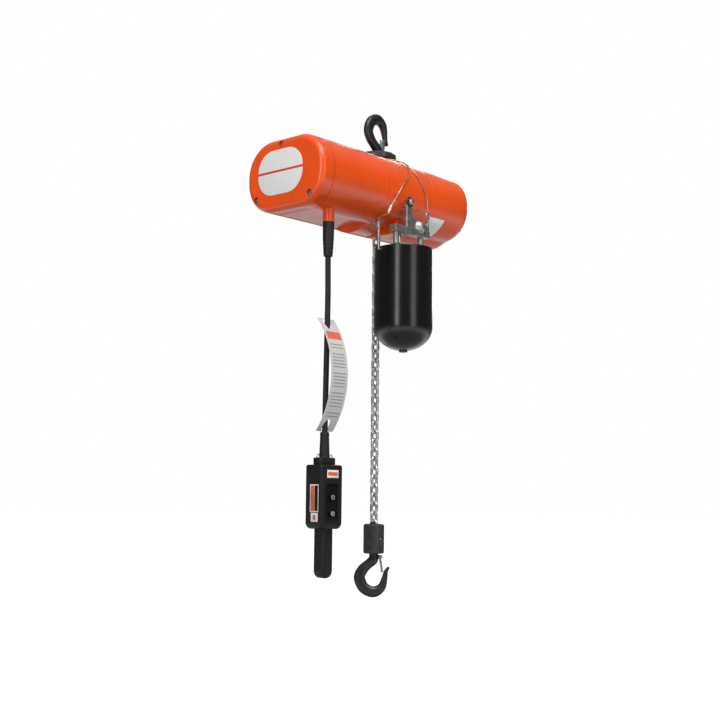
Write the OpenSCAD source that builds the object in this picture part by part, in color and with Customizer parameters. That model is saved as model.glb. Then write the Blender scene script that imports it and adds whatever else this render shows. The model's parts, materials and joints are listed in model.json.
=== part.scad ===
// Electric chain hoist: hook-suspended body, pocket lift wheel and gear train, chain container,
// hook block and hanging push-button pendant. Millimetres, +Z up, X along the motor axis.
// The origin is the saddle of the upper hook, on the line of the load chain.

/* [Load chain] */
// Wire diameter of a link
chain_wire = 6.3; // [6.2:0.05:6.4]
// Pitch of the chain, the inside length of a link
chain_pitch = 19.1; // [19:0.05:19.3]
// Outside width of a link
chain_w = 21; // [20.4:0.1:21.4]
// Links between the lift wheel and the hook block
hanging_links = 38; // [32:2:42]
// Links of the slack side below the wheel
slack_links = 6; // [5:1:7]

/* [Hooks] */
// Inside diameter of a hook's bowl
bowl_d = 35; // [34:0.5:36]
// Diameter of a hook's shank
shank_d = 19; // [18:0.5:20]
// Distance from a hook's saddle to the block above it
hook_reach = 68; // [67:0.5:70]
// Turn of the lower hook about the chain
lower_hook_turn = -48; // [-60:1:-30]
// Diameter of a latch pin
latch_pin_d = 4; // [3.8:0.1:4.4]
// Width of a latch between its cheeks
latch_w = 9; // [8.6:0.1:9.6]
// Thickness of a latch's sheet
latch_t = 1.6; // [1.4:0.1:1.8]

/* [Body] */
// Distance from the chain to the control end
body_left = 275; // [265:1:280]
// Distance from the chain to the motor end
body_right = 217; // [212:1:224]
// Width of the body, front to back
body_w = 218; // [214:1:224]
// Distance of the body's centre plane behind the chain
body_off = 10; // [8:0.5:12]
// Height of the body at the control end
body_h = 149; // [147:1:154]
// Depth of the motor belly's top below the body's top
belly_under = 7; // [6:0.5:9]
// Distance from the motor's stator to the outside of its belly
belly_over = 8; // [7.5:0.25:10]
// Height of the flat between the body's rounded edges
side_flat = 11; // [5:0.5:17]
// Wall of the castings
wall = 5; // [4:0.25:5.5]
// Fillet round the control end's face
end_fillet = 13; // [11:1:18]
// Fillet round the motor end's face
motor_fillet = 33; // [28:1:38]
// Depth of the end cover
cover_depth = 36; // [32:1:40]
// Half length of the gear frame
frame_half = 72; // [71:0.5:76]
// Thickness of a housing gasket
gasket_t = 0.6; // [0.4:0.1:1]
// Height of the suspension collar above the body
collar_h = 19; // [18:0.5:21]
// Diameter of the suspension collar
collar_d = 84; // [80:1:88]

/* [Badge and plates] */
// Width of the badge
badge_w = 127; // [120:1:130]
// Height of the badge
badge_h = 93; // [86:1:94]
// Thickness of the badge
badge_t = 1.2; // [0.8:0.1:1.6]
// Length of the rating plate
plate_len = 50; // [44:1:56]
// Thickness of the rating plate
plate_t = 0.8; // [0.6:0.1:1.2]

/* [Gear train] */
// Teeth of each pinion: motor, first and second shaft
pinion_teeth = [12, 12, 13];
// Teeth of each gear: first shaft, second shaft and lift wheel
gear_teeth = [48, 50, 52];
// Module of each pair, in millimetres per tooth
gear_module = [1, 1.25, 1.5];
// Drop of the lift wheel's axis below the body's top
wheel_drop = 79; // [78.5:0.25:80]
// Radius of the motor shaft
motor_shaft_r = 7.5; // [7.25:0.25:8]
// Radius of the first reduction shaft
first_shaft_r = 5; // [4.5:0.25:5.25]
// Radius of the second reduction shaft
second_shaft_r = 6; // [5.5:0.25:6.5]
// Radius of the lift wheel's shaft
lift_shaft_r = 9; // [8.5:0.25:9.5]
// Running clearance of a shaft in its bearing
run_fit = 0.04; // [0.02:0.01:0.08]
// Diameter of the motor's stator
stator_d = 140; // [136:1:146]
// Length of the motor's stator
stator_len = 60; // [52:1:62]
// Diameter of the motor's rotor
rotor_d = 76; // [70:1:80]
// Air gap between rotor and stator
air_gap = 0.5; // [0.3:0.1:0.8]

/* [Container] */
// Outside radius of the chain container
container_r = 61; // [58:0.5:62]
// Height of the container's straight wall
container_h = 166; // [160:1:172]
// Height of the container's domed bottom
container_dome = 50; // [44:1:54]
// Wall of the container
container_wall = 3; // [2.5:0.25:3.5]
// Distance of the container in front of the chain
container_front = 92; // [90:0.5:94]
// Distance of the container to the control side of the chain
container_side = 17; // [14:0.5:20]
// Length of the hangers between bracket and container
hanger_drop = 28; // [26:0.5:30]
// Diameter of the safety wire
safety_wire_d = 2.4; // [2:0.1:2.6]

/* [Hook block] */
// Diameter of the hook block
block_d = 44; // [43:0.5:46]
// Height of the hook block
block_h = 62; // [60:1:66]
// Diameter of the pin that holds the chain
block_pin_d = 6; // [5.5:0.1:6.2]

/* [Pendant] */
// Diameter of the pendant cable
cable_d = 11.5; // [11:0.1:12]
// Width of the pendant's box
pendant_w = 58; // [56:1:62]
// Depth of the pendant's box
pendant_d = 48; // [46:1:52]
// Height of the pendant's box
pendant_h = 126; // [122:1:130]
// Width of the pendant's grip
grip_w = 30; // [28:1:34]
// Depth of the pendant's grip
grip_d = 28; // [26:1:30]
// Length of the pendant's grip
grip_h = 96; // [90:1:100]
// Wall of the pendant's shells
pendant_wall = 2.5; // [2:0.25:3]
// Turn of the pendant about its cable
pendant_turn = -4; // [-20:1:0]
// Diameter of a push button
button_d = 12; // [11:0.5:13]
// Travel of a push button
button_travel = 4; // [3:0.25:4.5]
// Clearance round a push button
button_gap = 0.3; // [0.25:0.05:0.5]
// Width of the tag on the cable
tag_w = 48; // [44:1:52]
// Bow of the tag in front of the cable
tag_bow = 33; // [30:1:36]

/* [Hidden] */

eps = 1;            // overshoot of a cutting tool past the face it leaves
near = 0.3;         // clearance between pieces that lie against each other
round_fn = 48;
hull_fn = 48;

// Levels and stations of the body
body_top = -(hook_reach + collar_h);
body_bot = body_top - body_h;
belly_r = stator_d / 2 + belly_over;
belly_bot = body_top - belly_under - 2 * belly_r;
body_mid = (body_top + body_bot) / 2;
corner_r = (body_h - side_flat) / 2;
body_front = body_off - body_w / 2;
x_end = -body_left;
x_cover = x_end + cover_depth;
x_frame = -frame_half;
x_motor = frame_half;
x_right = body_right;
corner_front = body_front + corner_r;
corner_low = body_bot + corner_r;
corner_high = body_top - corner_r;

// Chain geometry
link_slack = 0.1;
link_inner = chain_pitch + link_slack;
link_end_r = (chain_w - chain_wire) / 2;
link_arc = link_inner / 2 - link_end_r + chain_wire / 2;
link_len = link_inner + 2 * chain_wire;
pockets = 5;
link_angle = 180 / pockets;
crown = (link_inner + chain_wire) / 2;
nip = (link_inner - chain_wire) / 2 - 0.05;
flat_r = (crown * cos(link_angle) + nip) / sin(link_angle);
upright_r = flat_r * cos(link_angle) + crown * sin(link_angle);

// Axes of the gear train as [y, z]
motor_axis = [body_off, belly_bot + belly_r];
wheel_axis = [-flat_r, body_top - wheel_drop];
function polar(c, a, r) = c + r * [cos(a), sin(a)];
function bearing_of(a, b) = atan2(b[1] - a[1], b[0] - a[0]);
function span(i) = gear_module[i] * (pinion_teeth[i] + gear_teeth[i]) / 2;
first_angle = -40;
first_axis = polar(motor_axis, first_angle, span(0));
first_reach = norm(first_axis - wheel_axis);
second_turn = acos((first_reach * first_reach + span(2) * span(2) - span(1) * span(1))
    / (2 * first_reach * span(2)));
second_axis = polar(wheel_axis, bearing_of(wheel_axis, first_axis) - second_turn, span(2));

// Stations of the gear train along X, each [from, to]
wheel_half = 13;
web_t = 10;
web_gap = 3;
left_web = [-wheel_half - web_gap - web_t, -wheel_half - web_gap];
mid_web = [wheel_half + web_gap, wheel_half + web_gap + web_t];
stage3 = [mid_web[1] + 2, mid_web[1] + 12];
stage2 = [stage3[1] + 3, stage3[1] + 10];
stage1 = [stage2[1] + 3, stage2[1] + 9];
right_web = [stage1[1] + 4, stage1[1] + 4 + 8];
shaft_gap = 1;

// Limit-switch train
limit_teeth = [20, 30];
limit_module = 1;
limit_span = limit_module * (limit_teeth[0] + limit_teeth[1]) / 2;
limit_axis = polar(wheel_axis, 60, limit_span);
limit_gear = [left_web[0] - 56, left_web[0] - 50];
limit_r = 4;
lift_tail_r = 6;

// Hook block
pin_drop = link_inner / 2 - block_pin_d / 2;
pin_z = wheel_axis[1] - hanging_links * chain_pitch - pin_drop;
block_top = pin_z + block_h / 2;
block_bot = block_top - block_h;
lower_seat = block_bot - hook_reach;
block_floor = 10;
bearing_t = 4;
nut_t = 7;
nut_r = 14;
shank_fit = 0.3;

// Container
container_c = [-container_side, -container_front];
bracket_z = belly_bot - 4;
rim_z = bracket_z - hanger_drop - 9;

// Pendant cable: points of its route, and the pendant's levels
cable_top = [-200, -46, -325];
cable_route = [cable_top, [-200, -46, -340], [-199, -46, -420], [-201, -46, -560], [-203, -46, -700]];
cable_end = cable_route[len(cable_route) - 1];
relief_tip = cable_top[2] - 4;
boss_bot = body_bot - 22;
boot_top = -684;
clamp_top = -735;
box_top = clamp_top - 14;
box_bot = box_top - pendant_h;

// ---- helpers ----
function unit(v) = v / norm(v);
function spline(a, b, c, d, t) =
    0.5 * ((2 * b) + (c - a) * t + (2 * a - 5 * b + 4 * c - d) * t * t
    + (3 * b - a - 3 * c + d) * t * t * t);
function smooth(P, n) = [
    for (i = [0:len(P) - 2], j = [0:n - 1])
        spline(P[max(i - 1, 0)], P[i], P[i + 1], P[min(i + 2, len(P) - 1)], j / n),
    P[len(P) - 1]
];
function tangents(Q) = [for (i = [0:len(Q) - 1]) unit(Q[min(i + 1, len(Q) - 1)] - Q[max(i - 1, 0)])];
function carried(T, u, i = 0) =
    i == len(T) ? [] : let (v = unit(u - (u * T[i]) * T[i])) concat([v], carried(T, v, i + 1));

// Closed skin over rings of n points each
module skin(rings) {
    n = len(rings[0]);
    last = len(rings) - 1;
    polyhedron(
        points = [for (ring = rings) each ring],
        faces = concat(
            [[for (k = [0:n - 1]) k]],
            [[for (k = [n - 1:-1:0]) last * n + k]],
            [for (i = [0:last - 1], k = [0:n - 1])
                [i * n + k, (i + 1) * n + k, (i + 1) * n + (k + 1) % n, i * n + (k + 1) % n]]
        )
    );
}

module tube(route, r, sides) {
    T = tangents(route);
    U = carried(T, [1, 0.2, 0.1]);
    skin([for (i = [0:len(route) - 1]) [for (k = [0:sides - 1]) let (a = 360 * k / sides)
        route[i] + r * (cos(a) * U[i] + sin(a) * cross(T[i], U[i]))]]);
}

module round_rect(w, h, r) {
    square([w - 2 * r, h], center = true);
    square([w, h - 2 * r], center = true);
    for (sx = [-1, 1], sy = [-1, 1])
        translate([sx * (w / 2 - r), sy * (h / 2 - r)])
            circle(r, $fn = 96);
}

// Extrusion of a (Y, Z) outline from x0 to x1
module along_x(x0, x1) {
    translate([x0, 0, 0])
        rotate([90, 0, 90])
            linear_extrude(x1 - x0)
                children();
}

module x_cyl(x0, x1, c, r) {
    translate([x0, c[0], c[1]])
        rotate([0, 90, 0])
            cylinder(h = x1 - x0, r = r, $fn = round_fn);
}

module y_cyl(y0, y1, x, z, r) {
    translate([x, y0, z])
        rotate([-90, 0, 0])
            cylinder(h = y1 - y0, r = r, $fn = round_fn);
}

module z_cyl(z0, z1, x, y, r) {
    translate([x, y, z0])
        cylinder(h = z1 - z0, r = r, $fn = round_fn);
}

module box(lo, hi) {
    translate(lo)
        cube(hi - lo);
}

module ring_x(x0, x1, c, r_in, r_out) {
    difference() {
        x_cyl(x0, x1, c, r_out);
        x_cyl(x0 - eps, x1 + eps, c, r_in);
    }
}

module ring_z(z0, z1, r_in, r_out) {
    difference() {
        z_cyl(z0, z1, 0, 0, r_out);
        z_cyl(z0 - eps, z1 + eps, 0, 0, r_in);
    }
}

// ---- load chain ----
module link() {
    for (s = [0, 180])
        rotate([0, s, 0])
            translate([0, 0, link_arc])
                rotate([90, 0, 0])
                    rotate_extrude(angle = 180, $fn = round_fn)
                        translate([link_end_r, 0])
                            circle(d = chain_wire, $fn = 24);
    for (s = [-1, 1])
        z_cyl(-link_arc, link_arc, s * link_end_r, 0, chain_wire / 2);
}

module straight_link(y, i) {
    translate([0, y, wheel_axis[1] - i * chain_pitch])
        rotate([0, 0, i % 2 * 90])
            link();
}

module wheel_link(k) {
    translate([0, wheel_axis[0], wheel_axis[1]])
        rotate([k * link_angle, 0, 0])
            translate([0, k % 2 == 0 ? flat_r : upright_r, 0])
                rotate([0, 0, k % 2 * 90])
                    link();
}

module load_chain() {
    color("silver")
        for (i = [0:hanging_links])
            straight_link(0, i);
}

module wheel_chain() {
    color("silver")
        for (k = [1:pockets])
            wheel_link(k);
}

slack_y = -flat_r - upright_r;
first_slack = 3;
heap_r = container_r - container_wall - 12;
heap_h = 38;
heap_foot = heap_r - 8;
heap_z = rim_z - container_h + 0.5
    - (container_dome - container_wall) * sqrt(1 - pow(heap_foot / (container_r - container_wall), 2));

module slack_chain() {
    color("silver") {
        for (i = [first_slack:first_slack + slack_links])
            straight_link(slack_y, i + pockets % 2);
        translate([container_c[0], container_c[1], heap_z])
            rotate_extrude($fn = round_fn)
                polygon([[0, 0], [heap_foot, 0], [heap_r, 10], [heap_r, heap_h - 12], [heap_r - 14, heap_h], [0, heap_h]]);
    }
}

// ---- hooks: saddle at the origin, shank along +Z, tip towards +X ----
bowl_r = bowl_d / 2;
// Stations round the bowl as [x, z, thickness in the hook's plane, width across it]
hook_stations = [
    [0, bowl_r + 46, shank_d - 5, shank_d - 5],
    [-0.5, bowl_r + 37.5, shank_d + 1.5, shank_d + 0.5],
    [-bowl_r + 7, bowl_r + 28.5, 20, 17],
    [-bowl_r - 5, bowl_r + 17, 22.5, 16],
    [-bowl_r - 12, bowl_r, 24, 16],
    [-bowl_r - 3, bowl_r - 20.5, 24, 17],
    [0, -11.8, 23.6, 18],
    [bowl_r - 0.5, bowl_r - 20, 18.5, 16],
    [bowl_r + 6.2, bowl_r, 12.4, 13],
    [bowl_r + 8.8, bowl_r + 13, 9, 11],
    [bowl_r + 15, bowl_r + 22.5, 5.5, 8]
];
latch_at = [15, bowl_r + 43.5];
latch_len = 32;
latch_angle = 8.5;
lug_w = 3;
hook_sides = 24;
spring_wire = 0.9;

function rounded(a, n) = sign(a) * pow(abs(a), n);

module hook_sweep() {
    path = smooth([for (s = hook_stations) [s[0], 0, s[1]]], 5);
    sizes = smooth([for (s = hook_stations) [s[2], s[3]]], 5);
    T = tangents(path);
    skin([for (i = [0:len(path) - 1]) let (N = cross([0, 1, 0], T[i]))
        [for (k = [0:hook_sides - 1]) let (a = 360 * k / hook_sides)
            path[i] + sizes[i][0] / 2 * rounded(cos(a), 0.85) * N
            + sizes[i][1] / 2 * rounded(sin(a), 0.85) * [0, 1, 0]]]);
}

// Forged hook whose shank ends shank_len above the block's face
module hook(shank_len) {
    difference() {
        union() {
            hook_sweep();
            z_cyl(bowl_r + 38, hook_reach + shank_len, 0, 0, shank_d / 2);
            y_cyl(-lug_w / 2, lug_w / 2, latch_at[0], latch_at[1], latch_pin_d);
            translate([shank_d / 2 - 3, -lug_w / 2, latch_at[1] - latch_pin_d])
                cube([latch_at[0] - shank_d / 2 + 3, lug_w, 2 * latch_pin_d]);
        }
        y_cyl(-latch_w, latch_w, latch_at[0], latch_at[1], latch_pin_d / 2);
    }
}

module hook_nut(z) {
    translate([0, 0, z])
        difference() {
            cylinder(h = nut_t, r = nut_r, $fn = round_fn);
            translate([0, 0, -eps])
                cylinder(h = nut_t + 2 * eps, r = shank_d / 2, $fn = round_fn);
        }
}

// Pin through the lug with its coil of spring on each side
module latch_hinge() {
    y_cyl(-latch_w / 2 - latch_t - 1, latch_w / 2 + latch_t + 1, latch_at[0], latch_at[1], latch_pin_d / 2);
    for (s = [-1, 1], i = [0:1])
        translate([latch_at[0], s * (lug_w / 2 + 0.6 + i * (spring_wire + 0.1)), latch_at[1]])
            rotate([90, 0, 0])
                rotate_extrude($fn = round_fn)
                    translate([latch_pin_d / 2 + spring_wire / 2 + run_fit, 0])
                        circle(d = spring_wire, $fn = 16);
}

// Sheet-metal latch: two cheeks on the pin and a bridge down to the tip
module latch() {
    translate([latch_at[0], 0, latch_at[1]])
        rotate([0, -latch_angle, 0])
            difference() {
                union() {
                    for (s = [-1, 1])
                        translate([0, s * (latch_w + latch_t) / 2, 0]) {
                            rotate([90, 0, 0])
                                cylinder(h = latch_t, r = latch_pin_d, center = true, $fn = round_fn);
                            translate([-latch_pin_d, -latch_t / 2, -latch_len])
                                cube([latch_pin_d + 1, latch_t, latch_len]);
                        }
                    translate([1 - latch_t, -latch_w / 2 - latch_t, -latch_len])
                        cube([latch_t, latch_w + 2 * latch_t, latch_len - latch_pin_d - 2]);
                }
                rotate([90, 0, 0])
                    cylinder(h = 3 * latch_w, r = latch_pin_d / 2 + run_fit, center = true, $fn = round_fn);
            }
}

module at_upper_hook() {
    rotate([180, 0, 0])
        children();
}

module at_lower_hook() {
    translate([0, 0, lower_seat])
        rotate([0, 0, lower_hook_turn])
            children();
}

// ---- suspension ----
neck_r = 23;
groove_r = collar_d / 2 - 4.5;
plate_h = 24;
yoke_pin_r = 5;
yoke_pin_y = 21;
yoke_pin_z = body_top - wall - plate_h / 2;
pin_in = 2;
upper_nut_z = body_top - wall - plate_h + near;
upper_shank = collar_h + wall + plate_h - near;
lower_shank = block_floor + bearing_t + near + nut_t;

race_t = 1.2;
ball_gap = 0.05;

module thrust_bearing(z) {
    translate([0, 0, z]) {
        ring_z(0, race_t, shank_d / 2 + shank_fit, nut_r - 0.5);
        ring_z(bearing_t - race_t, bearing_t, shank_d / 2 + shank_fit, nut_r - 0.5);
        for (a = [0:45:315])
            rotate([0, 0, a])
                translate([(shank_d / 2 + nut_r) / 2, 0, bearing_t / 2])
                    sphere(r = bearing_t / 2 - race_t - ball_gap, $fn = 24);
    }
}

module upper_hook() {
    color("#1c1c1e")
        at_upper_hook()
            hook(upper_shank);
}

module upper_hook_nut() {
    color("#3a3a3e")
        hook_nut(upper_nut_z);
}

module upper_latch_hinge() {
    color("silver")
        at_upper_hook()
            latch_hinge();
}

module upper_latch() {
    color("gray")
        at_upper_hook()
            latch();
}

module suspension_block() {
    color("#222326")
        difference() {
            union() {
                z_cyl(body_top - wall - near, body_top + 1, 0, 0, neck_r);
                translate([0, 0, body_top + near])
                    rotate_extrude($fn = 96)
                        polygon([[0, 0], [groove_r, 0], [groove_r, 3.5], [collar_d / 2, 6], [collar_d / 2, collar_h - near - 3],
                            [collar_d / 2 - 3, collar_h - near], [0, collar_h - near]]);
                box([left_web[1], -28, body_top - wall - plate_h], [mid_web[0], 28, body_top - wall - near]);
                for (s = [-1, 1])
                    x_cyl(left_web[0] + pin_in, mid_web[1] - pin_in, [s * yoke_pin_y, yoke_pin_z], yoke_pin_r - 0.02);
            }
            z_cyl(body_top - 2 * plate_h, body_top + 2 * collar_h, 0, 0, shank_d / 2 + shank_fit);
            z_cyl(body_top - 2 * plate_h, upper_nut_z + nut_t + bearing_t + 2 * near, 0, 0, nut_r + near);
        }
}

module upper_thrust_bearing() {
    color("silver")
        thrust_bearing(upper_nut_z + nut_t + near);
}

// ---- body castings ----
module section(inset) {
    translate([body_off, body_mid])
        round_rect(body_w - 2 * inset, body_h - 2 * inset, corner_r - inset);
}

module belly(inset) {
    translate(motor_axis)
        circle(belly_r - inset, $fn = 128);
}

// Solid of revolution about its own axis, rounded by f at its far end
module pill(len, r, f) {
    rotate_extrude($fn = hull_fn)
        polygon(concat([[0, 0], [r, 0], [r, len - f]],
            [for (a = [0:10:90]) [r - f + f * cos(a), len - f + f * sin(a)]], [[0, len]]));
}

// Body end from x0 to x1 with its face at x1 rounded by f
module rounded_end(x0, x1, inset, f) {
    reach = abs(x1 - x0);
    hull()
        for (sy = [-1, 1], sz = [-1, 1])
            translate([x0, body_off + sy * (body_w / 2 - corner_r), body_mid + sz * (body_h / 2 - corner_r)])
                rotate([0, x1 > x0 ? 90 : -90, 0])
                    pill(reach, corner_r - inset, f);
}

screw_r = 3;
screw_head_r = 5.5;
boss_r = 10.5;
screw_in = corner_r - 13;
corner_y = body_w / 2 - corner_r;
function corner_screw(sy, z, a) = polar([body_off + sy * corner_y, z], a, screw_in);
tie_at = [
    [body_off + 10, body_top - wall - boss_r + 3],
    corner_screw(-1, corner_low, -125),
    corner_screw(1, corner_low, -45)
];
motor_screw_at = [
    corner_screw(-1, corner_low, -135),
    corner_screw(1, corner_low, -45),
    corner_screw(-1, corner_high, 135),
    corner_screw(1, corner_high, 45)
];
head_x = x_end + 10;
motor_head_x = x_right - 24;
tie_depth = 14;

module screw_bosses(x0, x1, at) {
    intersection() {
        along_x(x0, x1)
            section(1);
        for (p = at)
            x_cyl(x0, x1, p, boss_r);
    }
}

module end_cover() {
    color("#e8541c")
        difference() {
            union() {
                difference() {
                    rounded_end(x_cover, x_end, 0, end_fillet);
                    rounded_end(x_cover + eps, x_end + wall, wall, end_fillet - wall);
                }
                screw_bosses(head_x - 6.5, x_cover, tie_at);
            }
            for (p = tie_at) {
                x_cyl(x_end - eps, head_x, p, screw_head_r + near);
                x_cyl(x_end, x_cover + eps, p, screw_r + near);
            }
            along_x(x_end - eps, x_end + badge_t / 2)
                translate(badge_at)
                    round_rect(badge_w + 1, badge_h + 1, badge_r + 0.5);
        }
}

badge_r = 42;
badge_at = [body_off + 10, body_mid + 4.5];

module badge_plate() {
    color("white")
        along_x(x_end - badge_t / 2, x_end + badge_t / 2)
            translate(badge_at)
                round_rect(badge_w, badge_h, badge_r);
}

gland_at = [x_cover + 30, body_mid];
gland_r = 11;

module control_housing() {
    color("#e8541c")
        difference() {
            union() {
                difference() {
                    along_x(x_cover + gasket_t, x_frame - gasket_t)
                        section(0);
                    along_x(x_cover, x_frame)
                        section(wall);
                }
                screw_bosses(x_cover + gasket_t, x_cover + 24, tie_at);
                z_cyl(boss_bot, body_bot + wall, cable_top[0], cable_top[1], cable_d / 2 + 6.2);
            }
            for (p = tie_at)
                x_cyl(x_cover - eps, x_cover + 25, p, screw_r + near);
            z_cyl(boss_bot - eps, body_bot + 2 * wall, cable_top[0], cable_top[1], cable_d / 2 + 2);
            y_cyl(body_off, body_off + body_w, gland_at[0], gland_at[1], gland_r);
        }
}

guide_x = 14;
guide_y = [slack_y - 14, 16];
guide_top = wheel_axis[1] - 43;
guide_bot = belly_bot - 2;
bolt_at = [-17, body_top - 105];
bolt_r = 5;

// Bearings as [x stations, axis, shaft radius, outer radius]
bearings = [
    [left_web, wheel_axis, lift_shaft_r, 16],
    [mid_web, wheel_axis, lift_shaft_r, 16],
    [mid_web, first_axis, first_shaft_r, 10],
    [right_web, first_axis, first_shaft_r, 10],
    [mid_web, second_axis, second_shaft_r, 11],
    [right_web, second_axis, second_shaft_r, 11],
    [right_web, motor_axis, motor_shaft_r, 16]
];

module gear_frame() {
    color("#e8541c")
        difference() {
            union() {
                difference() {
                    along_x(x_frame, x_motor) {
                        section(0);
                        belly(0);
                    }
                    along_x(x_frame - eps, x_motor + eps) {
                        section(wall);
                        belly(wall);
                    }
                }
                along_x(x_frame, x_frame + wall)
                    difference() {
                        belly(0);
                        section(wall);
                    }
                for (w = [left_web, mid_web, right_web])
                    along_x(w[0], w[1]) {
                        section(wall / 2);
                        belly(wall / 2);
                    }
                y_cyl(body_front + 1, body_front + 30, bolt_at[0], bolt_at[1], bolt_r + 5);
                screw_bosses(x_frame, x_frame + tie_depth + 4, tie_at);
            }
            for (p = tie_at)
                x_cyl(x_frame - eps, x_frame + tie_depth + 1, p, screw_r);
            for (p = motor_screw_at)
                x_cyl(right_web[0] + 2, x_motor + eps, p, screw_r);
            for (y = [-1, 1])
                x_cyl(left_web[0] + pin_in - 1, mid_web[1] - pin_in + 1, [y * yoke_pin_y, yoke_pin_z], yoke_pin_r);
            for (b = bearings)
                x_cyl(b[0][0] - eps, b[0][1] + eps, b[1], b[3]);
            z_cyl(body_top - wall - eps, body_top + eps, 0, 0, neck_r + near);
            box([-guide_x - near, guide_y[0] - near, belly_bot - eps], [guide_x + near, guide_y[1] + near, guide_top]);
            z_cyl(body_bot, body_bot + 18, rear_hanger[0], rear_hanger[1], rod_r + 0.02);
            y_cyl(body_front - eps, body_front + 24, bolt_at[0], bolt_at[1], bolt_r);
        }
}

module motor_cover() {
    color("#e8541c")
        difference() {
            union() {
                difference() {
                    union() {
                        rounded_end(x_motor + gasket_t, x_right, 0, motor_fillet);
                        belly_end(x_motor + gasket_t, x_right, 0);
                    }
                    rounded_end(x_motor, x_right - wall, wall, motor_fillet - wall);
                    belly_end(x_motor, x_right - wall, wall);
                }
                screw_bosses(x_motor + gasket_t, motor_head_x + 6, motor_screw_at);
                for (x = [stator_x[0] + 4, stator_x[1] - 12])
                    ring_x(x, x + 8, motor_axis, stator_d / 2 + seat_fit, belly_r - wall + 1);
            }
            for (p = motor_screw_at) {
                x_cyl(motor_head_x, x_right + eps, p, screw_head_r + near);
                x_cyl(x_motor, x_right, p, screw_r + near);
            }
        }
}

// Round belly of the motor end
module belly_end(x0, x1, inset) {
    translate([x0, motor_axis[0], motor_axis[1]])
        rotate([0, 90, 0])
            pill(x1 - x0, belly_r - inset, motor_fillet - inset);
}

module gasket(x, drop) {
    along_x(x, x + gasket_t)
        difference() {
            union() {
                section(0.8);
                if (drop)
                    belly(0.8);
            }
            section(wall);
            if (drop)
                belly(wall);
        }
}

module housing_gaskets() {
    color("#7a2a10") {
        gasket(x_cover, false);
        gasket(x_frame - gasket_t, false);
        gasket(x_motor, true);
    }
}

module cap_screw(x_head, dir, p, len) {
    head = 6;
    translate([x_head, p[0], p[1]])
        rotate([0, dir * 90, 0]) {
            difference() {
                translate([0, 0, -head])
                    cylinder(h = head, r = screw_head_r, $fn = round_fn);
                translate([0, 0, -head - eps])
                    cylinder(h = 3.5 + eps, r = 2.9, $fn = 6);
            }
            cylinder(h = len, r = screw_r - 0.02, $fn = round_fn);
        }
}

module housing_screws() {
    color("silver") {
        for (p = tie_at)
            cap_screw(head_x, 1, p, x_frame + tie_depth - head_x);
        for (p = motor_screw_at)
            cap_screw(motor_head_x, -1, p, motor_head_x - right_web[0] - 3);
        y_cyl(body_front - eye_t - 0.3, body_front + 20, bolt_at[0], bolt_at[1], bolt_r - 0.02);
        translate([bolt_at[0], body_front - eye_t - near, bolt_at[1]])
            rotate([90, 0, 0])
                cylinder(h = 5.5, r = 8, $fn = 6);
    }
}

plate_gap = 0.1;
plate_x = x_motor + 3;

module rating_plate() {
    color("#dcdcd6")
        translate([plate_x, corner_front, corner_low])
            rotate([0, 90, 0])
                rotate([0, 0, -58])
                    rotate_extrude(angle = 43, $fn = 96)
                        translate([corner_r + plate_gap, 0])
                            square([plate_t, plate_len]);
}

gland_bore = 6.5;
gland_out = 18;

module power_gland() {
    color("#202022")
        difference() {
            union() {
                y_cyl(body_off + body_w / 2 - wall - 4, body_off + body_w / 2 + 4, gland_at[0], gland_at[1], gland_r - 0.02);
                translate([gland_at[0], body_off + body_w / 2 + near, gland_at[1]])
                    rotate([-90, 0, 0])
                        cylinder(h = 6, r = gland_r + 5, $fn = 6);
                y_cyl(body_off + body_w / 2 + 5, body_off + body_w / 2 + gland_out, gland_at[0], gland_at[1], gland_r + 2);
            }
            y_cyl(body_off, body_off + body_w, gland_at[0], gland_at[1], gland_bore);
        }
}

// ---- gears ----
pressure_angle = 25;
backlash = 0.16;
function involute(a) = tan(a) * 180 / PI - a;

// Half the tooth's angle at radius r
function half_tooth(r, teeth, m) =
    let (pitch_r = teeth * m / 2, base_r = pitch_r * cos(pressure_angle))
        (90 / teeth) - backlash / (2 * pitch_r) * 180 / PI + involute(pressure_angle)
        - involute(acos(min(1, base_r / max(r, base_r))));

module gear_outline(teeth, m, phase) {
    pitch_r = teeth * m / 2;
    root_r = pitch_r - 1.25 * m;
    tip_r = pitch_r + m;
    base_r = max(pitch_r * cos(pressure_angle), root_r + 0.1 * m);
    flank = [root_r, base_r, (base_r + tip_r) / 2, tip_r];
    polygon([for (i = [0:teeth - 1]) let (mid = phase + 360 * i / teeth) each concat(
        [for (r = flank) let (a = mid - half_tooth(r, teeth, m)) r * [cos(a), sin(a)]],
        [for (j = [3:-1:0]) let (a = mid + half_tooth(flank[j], teeth, m)) flank[j] * [cos(a), sin(a)]]
    )]);
}

module gear(st, axis, teeth, m, phase) {
    along_x(st[0], st[1])
        translate(axis)
            gear_outline(teeth, m, phase);
}

// A pinion points a tooth along the line of centres, and its gear points a gap back
module pinion_of(i, st, axis, mate) {
    gear(st, axis, pinion_teeth[i], gear_module[i], bearing_of(axis, mate));
}

module gear_of(i, st, axis, mate) {
    gear(st, axis, gear_teeth[i], gear_module[i], bearing_of(axis, mate) + 180 / gear_teeth[i]);
}

module motor_rotor() {
    color("#b0b2b6") {
        x_cyl(stator_x[0], stator_x[1], motor_axis, rotor_d / 2);
        x_cyl(stage1[1] + 1, disc_x[1] + 4, motor_axis, motor_shaft_r);
        pinion_of(0, [stage1[0] - 0.5, stage1[1] + 1], motor_axis, first_axis);
    }
}

stator_x = [x_motor + 14, x_motor + 14 + stator_len];
bell_x = [stator_x[1] + 13, stator_x[1] + 18];
disc_x = [bell_x[1] + 5, bell_x[1] + 9];
seat_fit = 0.05;

module first_reduction() {
    color("#8c8f94") {
        x_cyl(mid_web[0] + shaft_gap, right_web[1] - shaft_gap, first_axis, first_shaft_r);
        gear_of(0, stage1, first_axis, motor_axis);
        pinion_of(1, stage2, first_axis, second_axis);
    }
}

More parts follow.
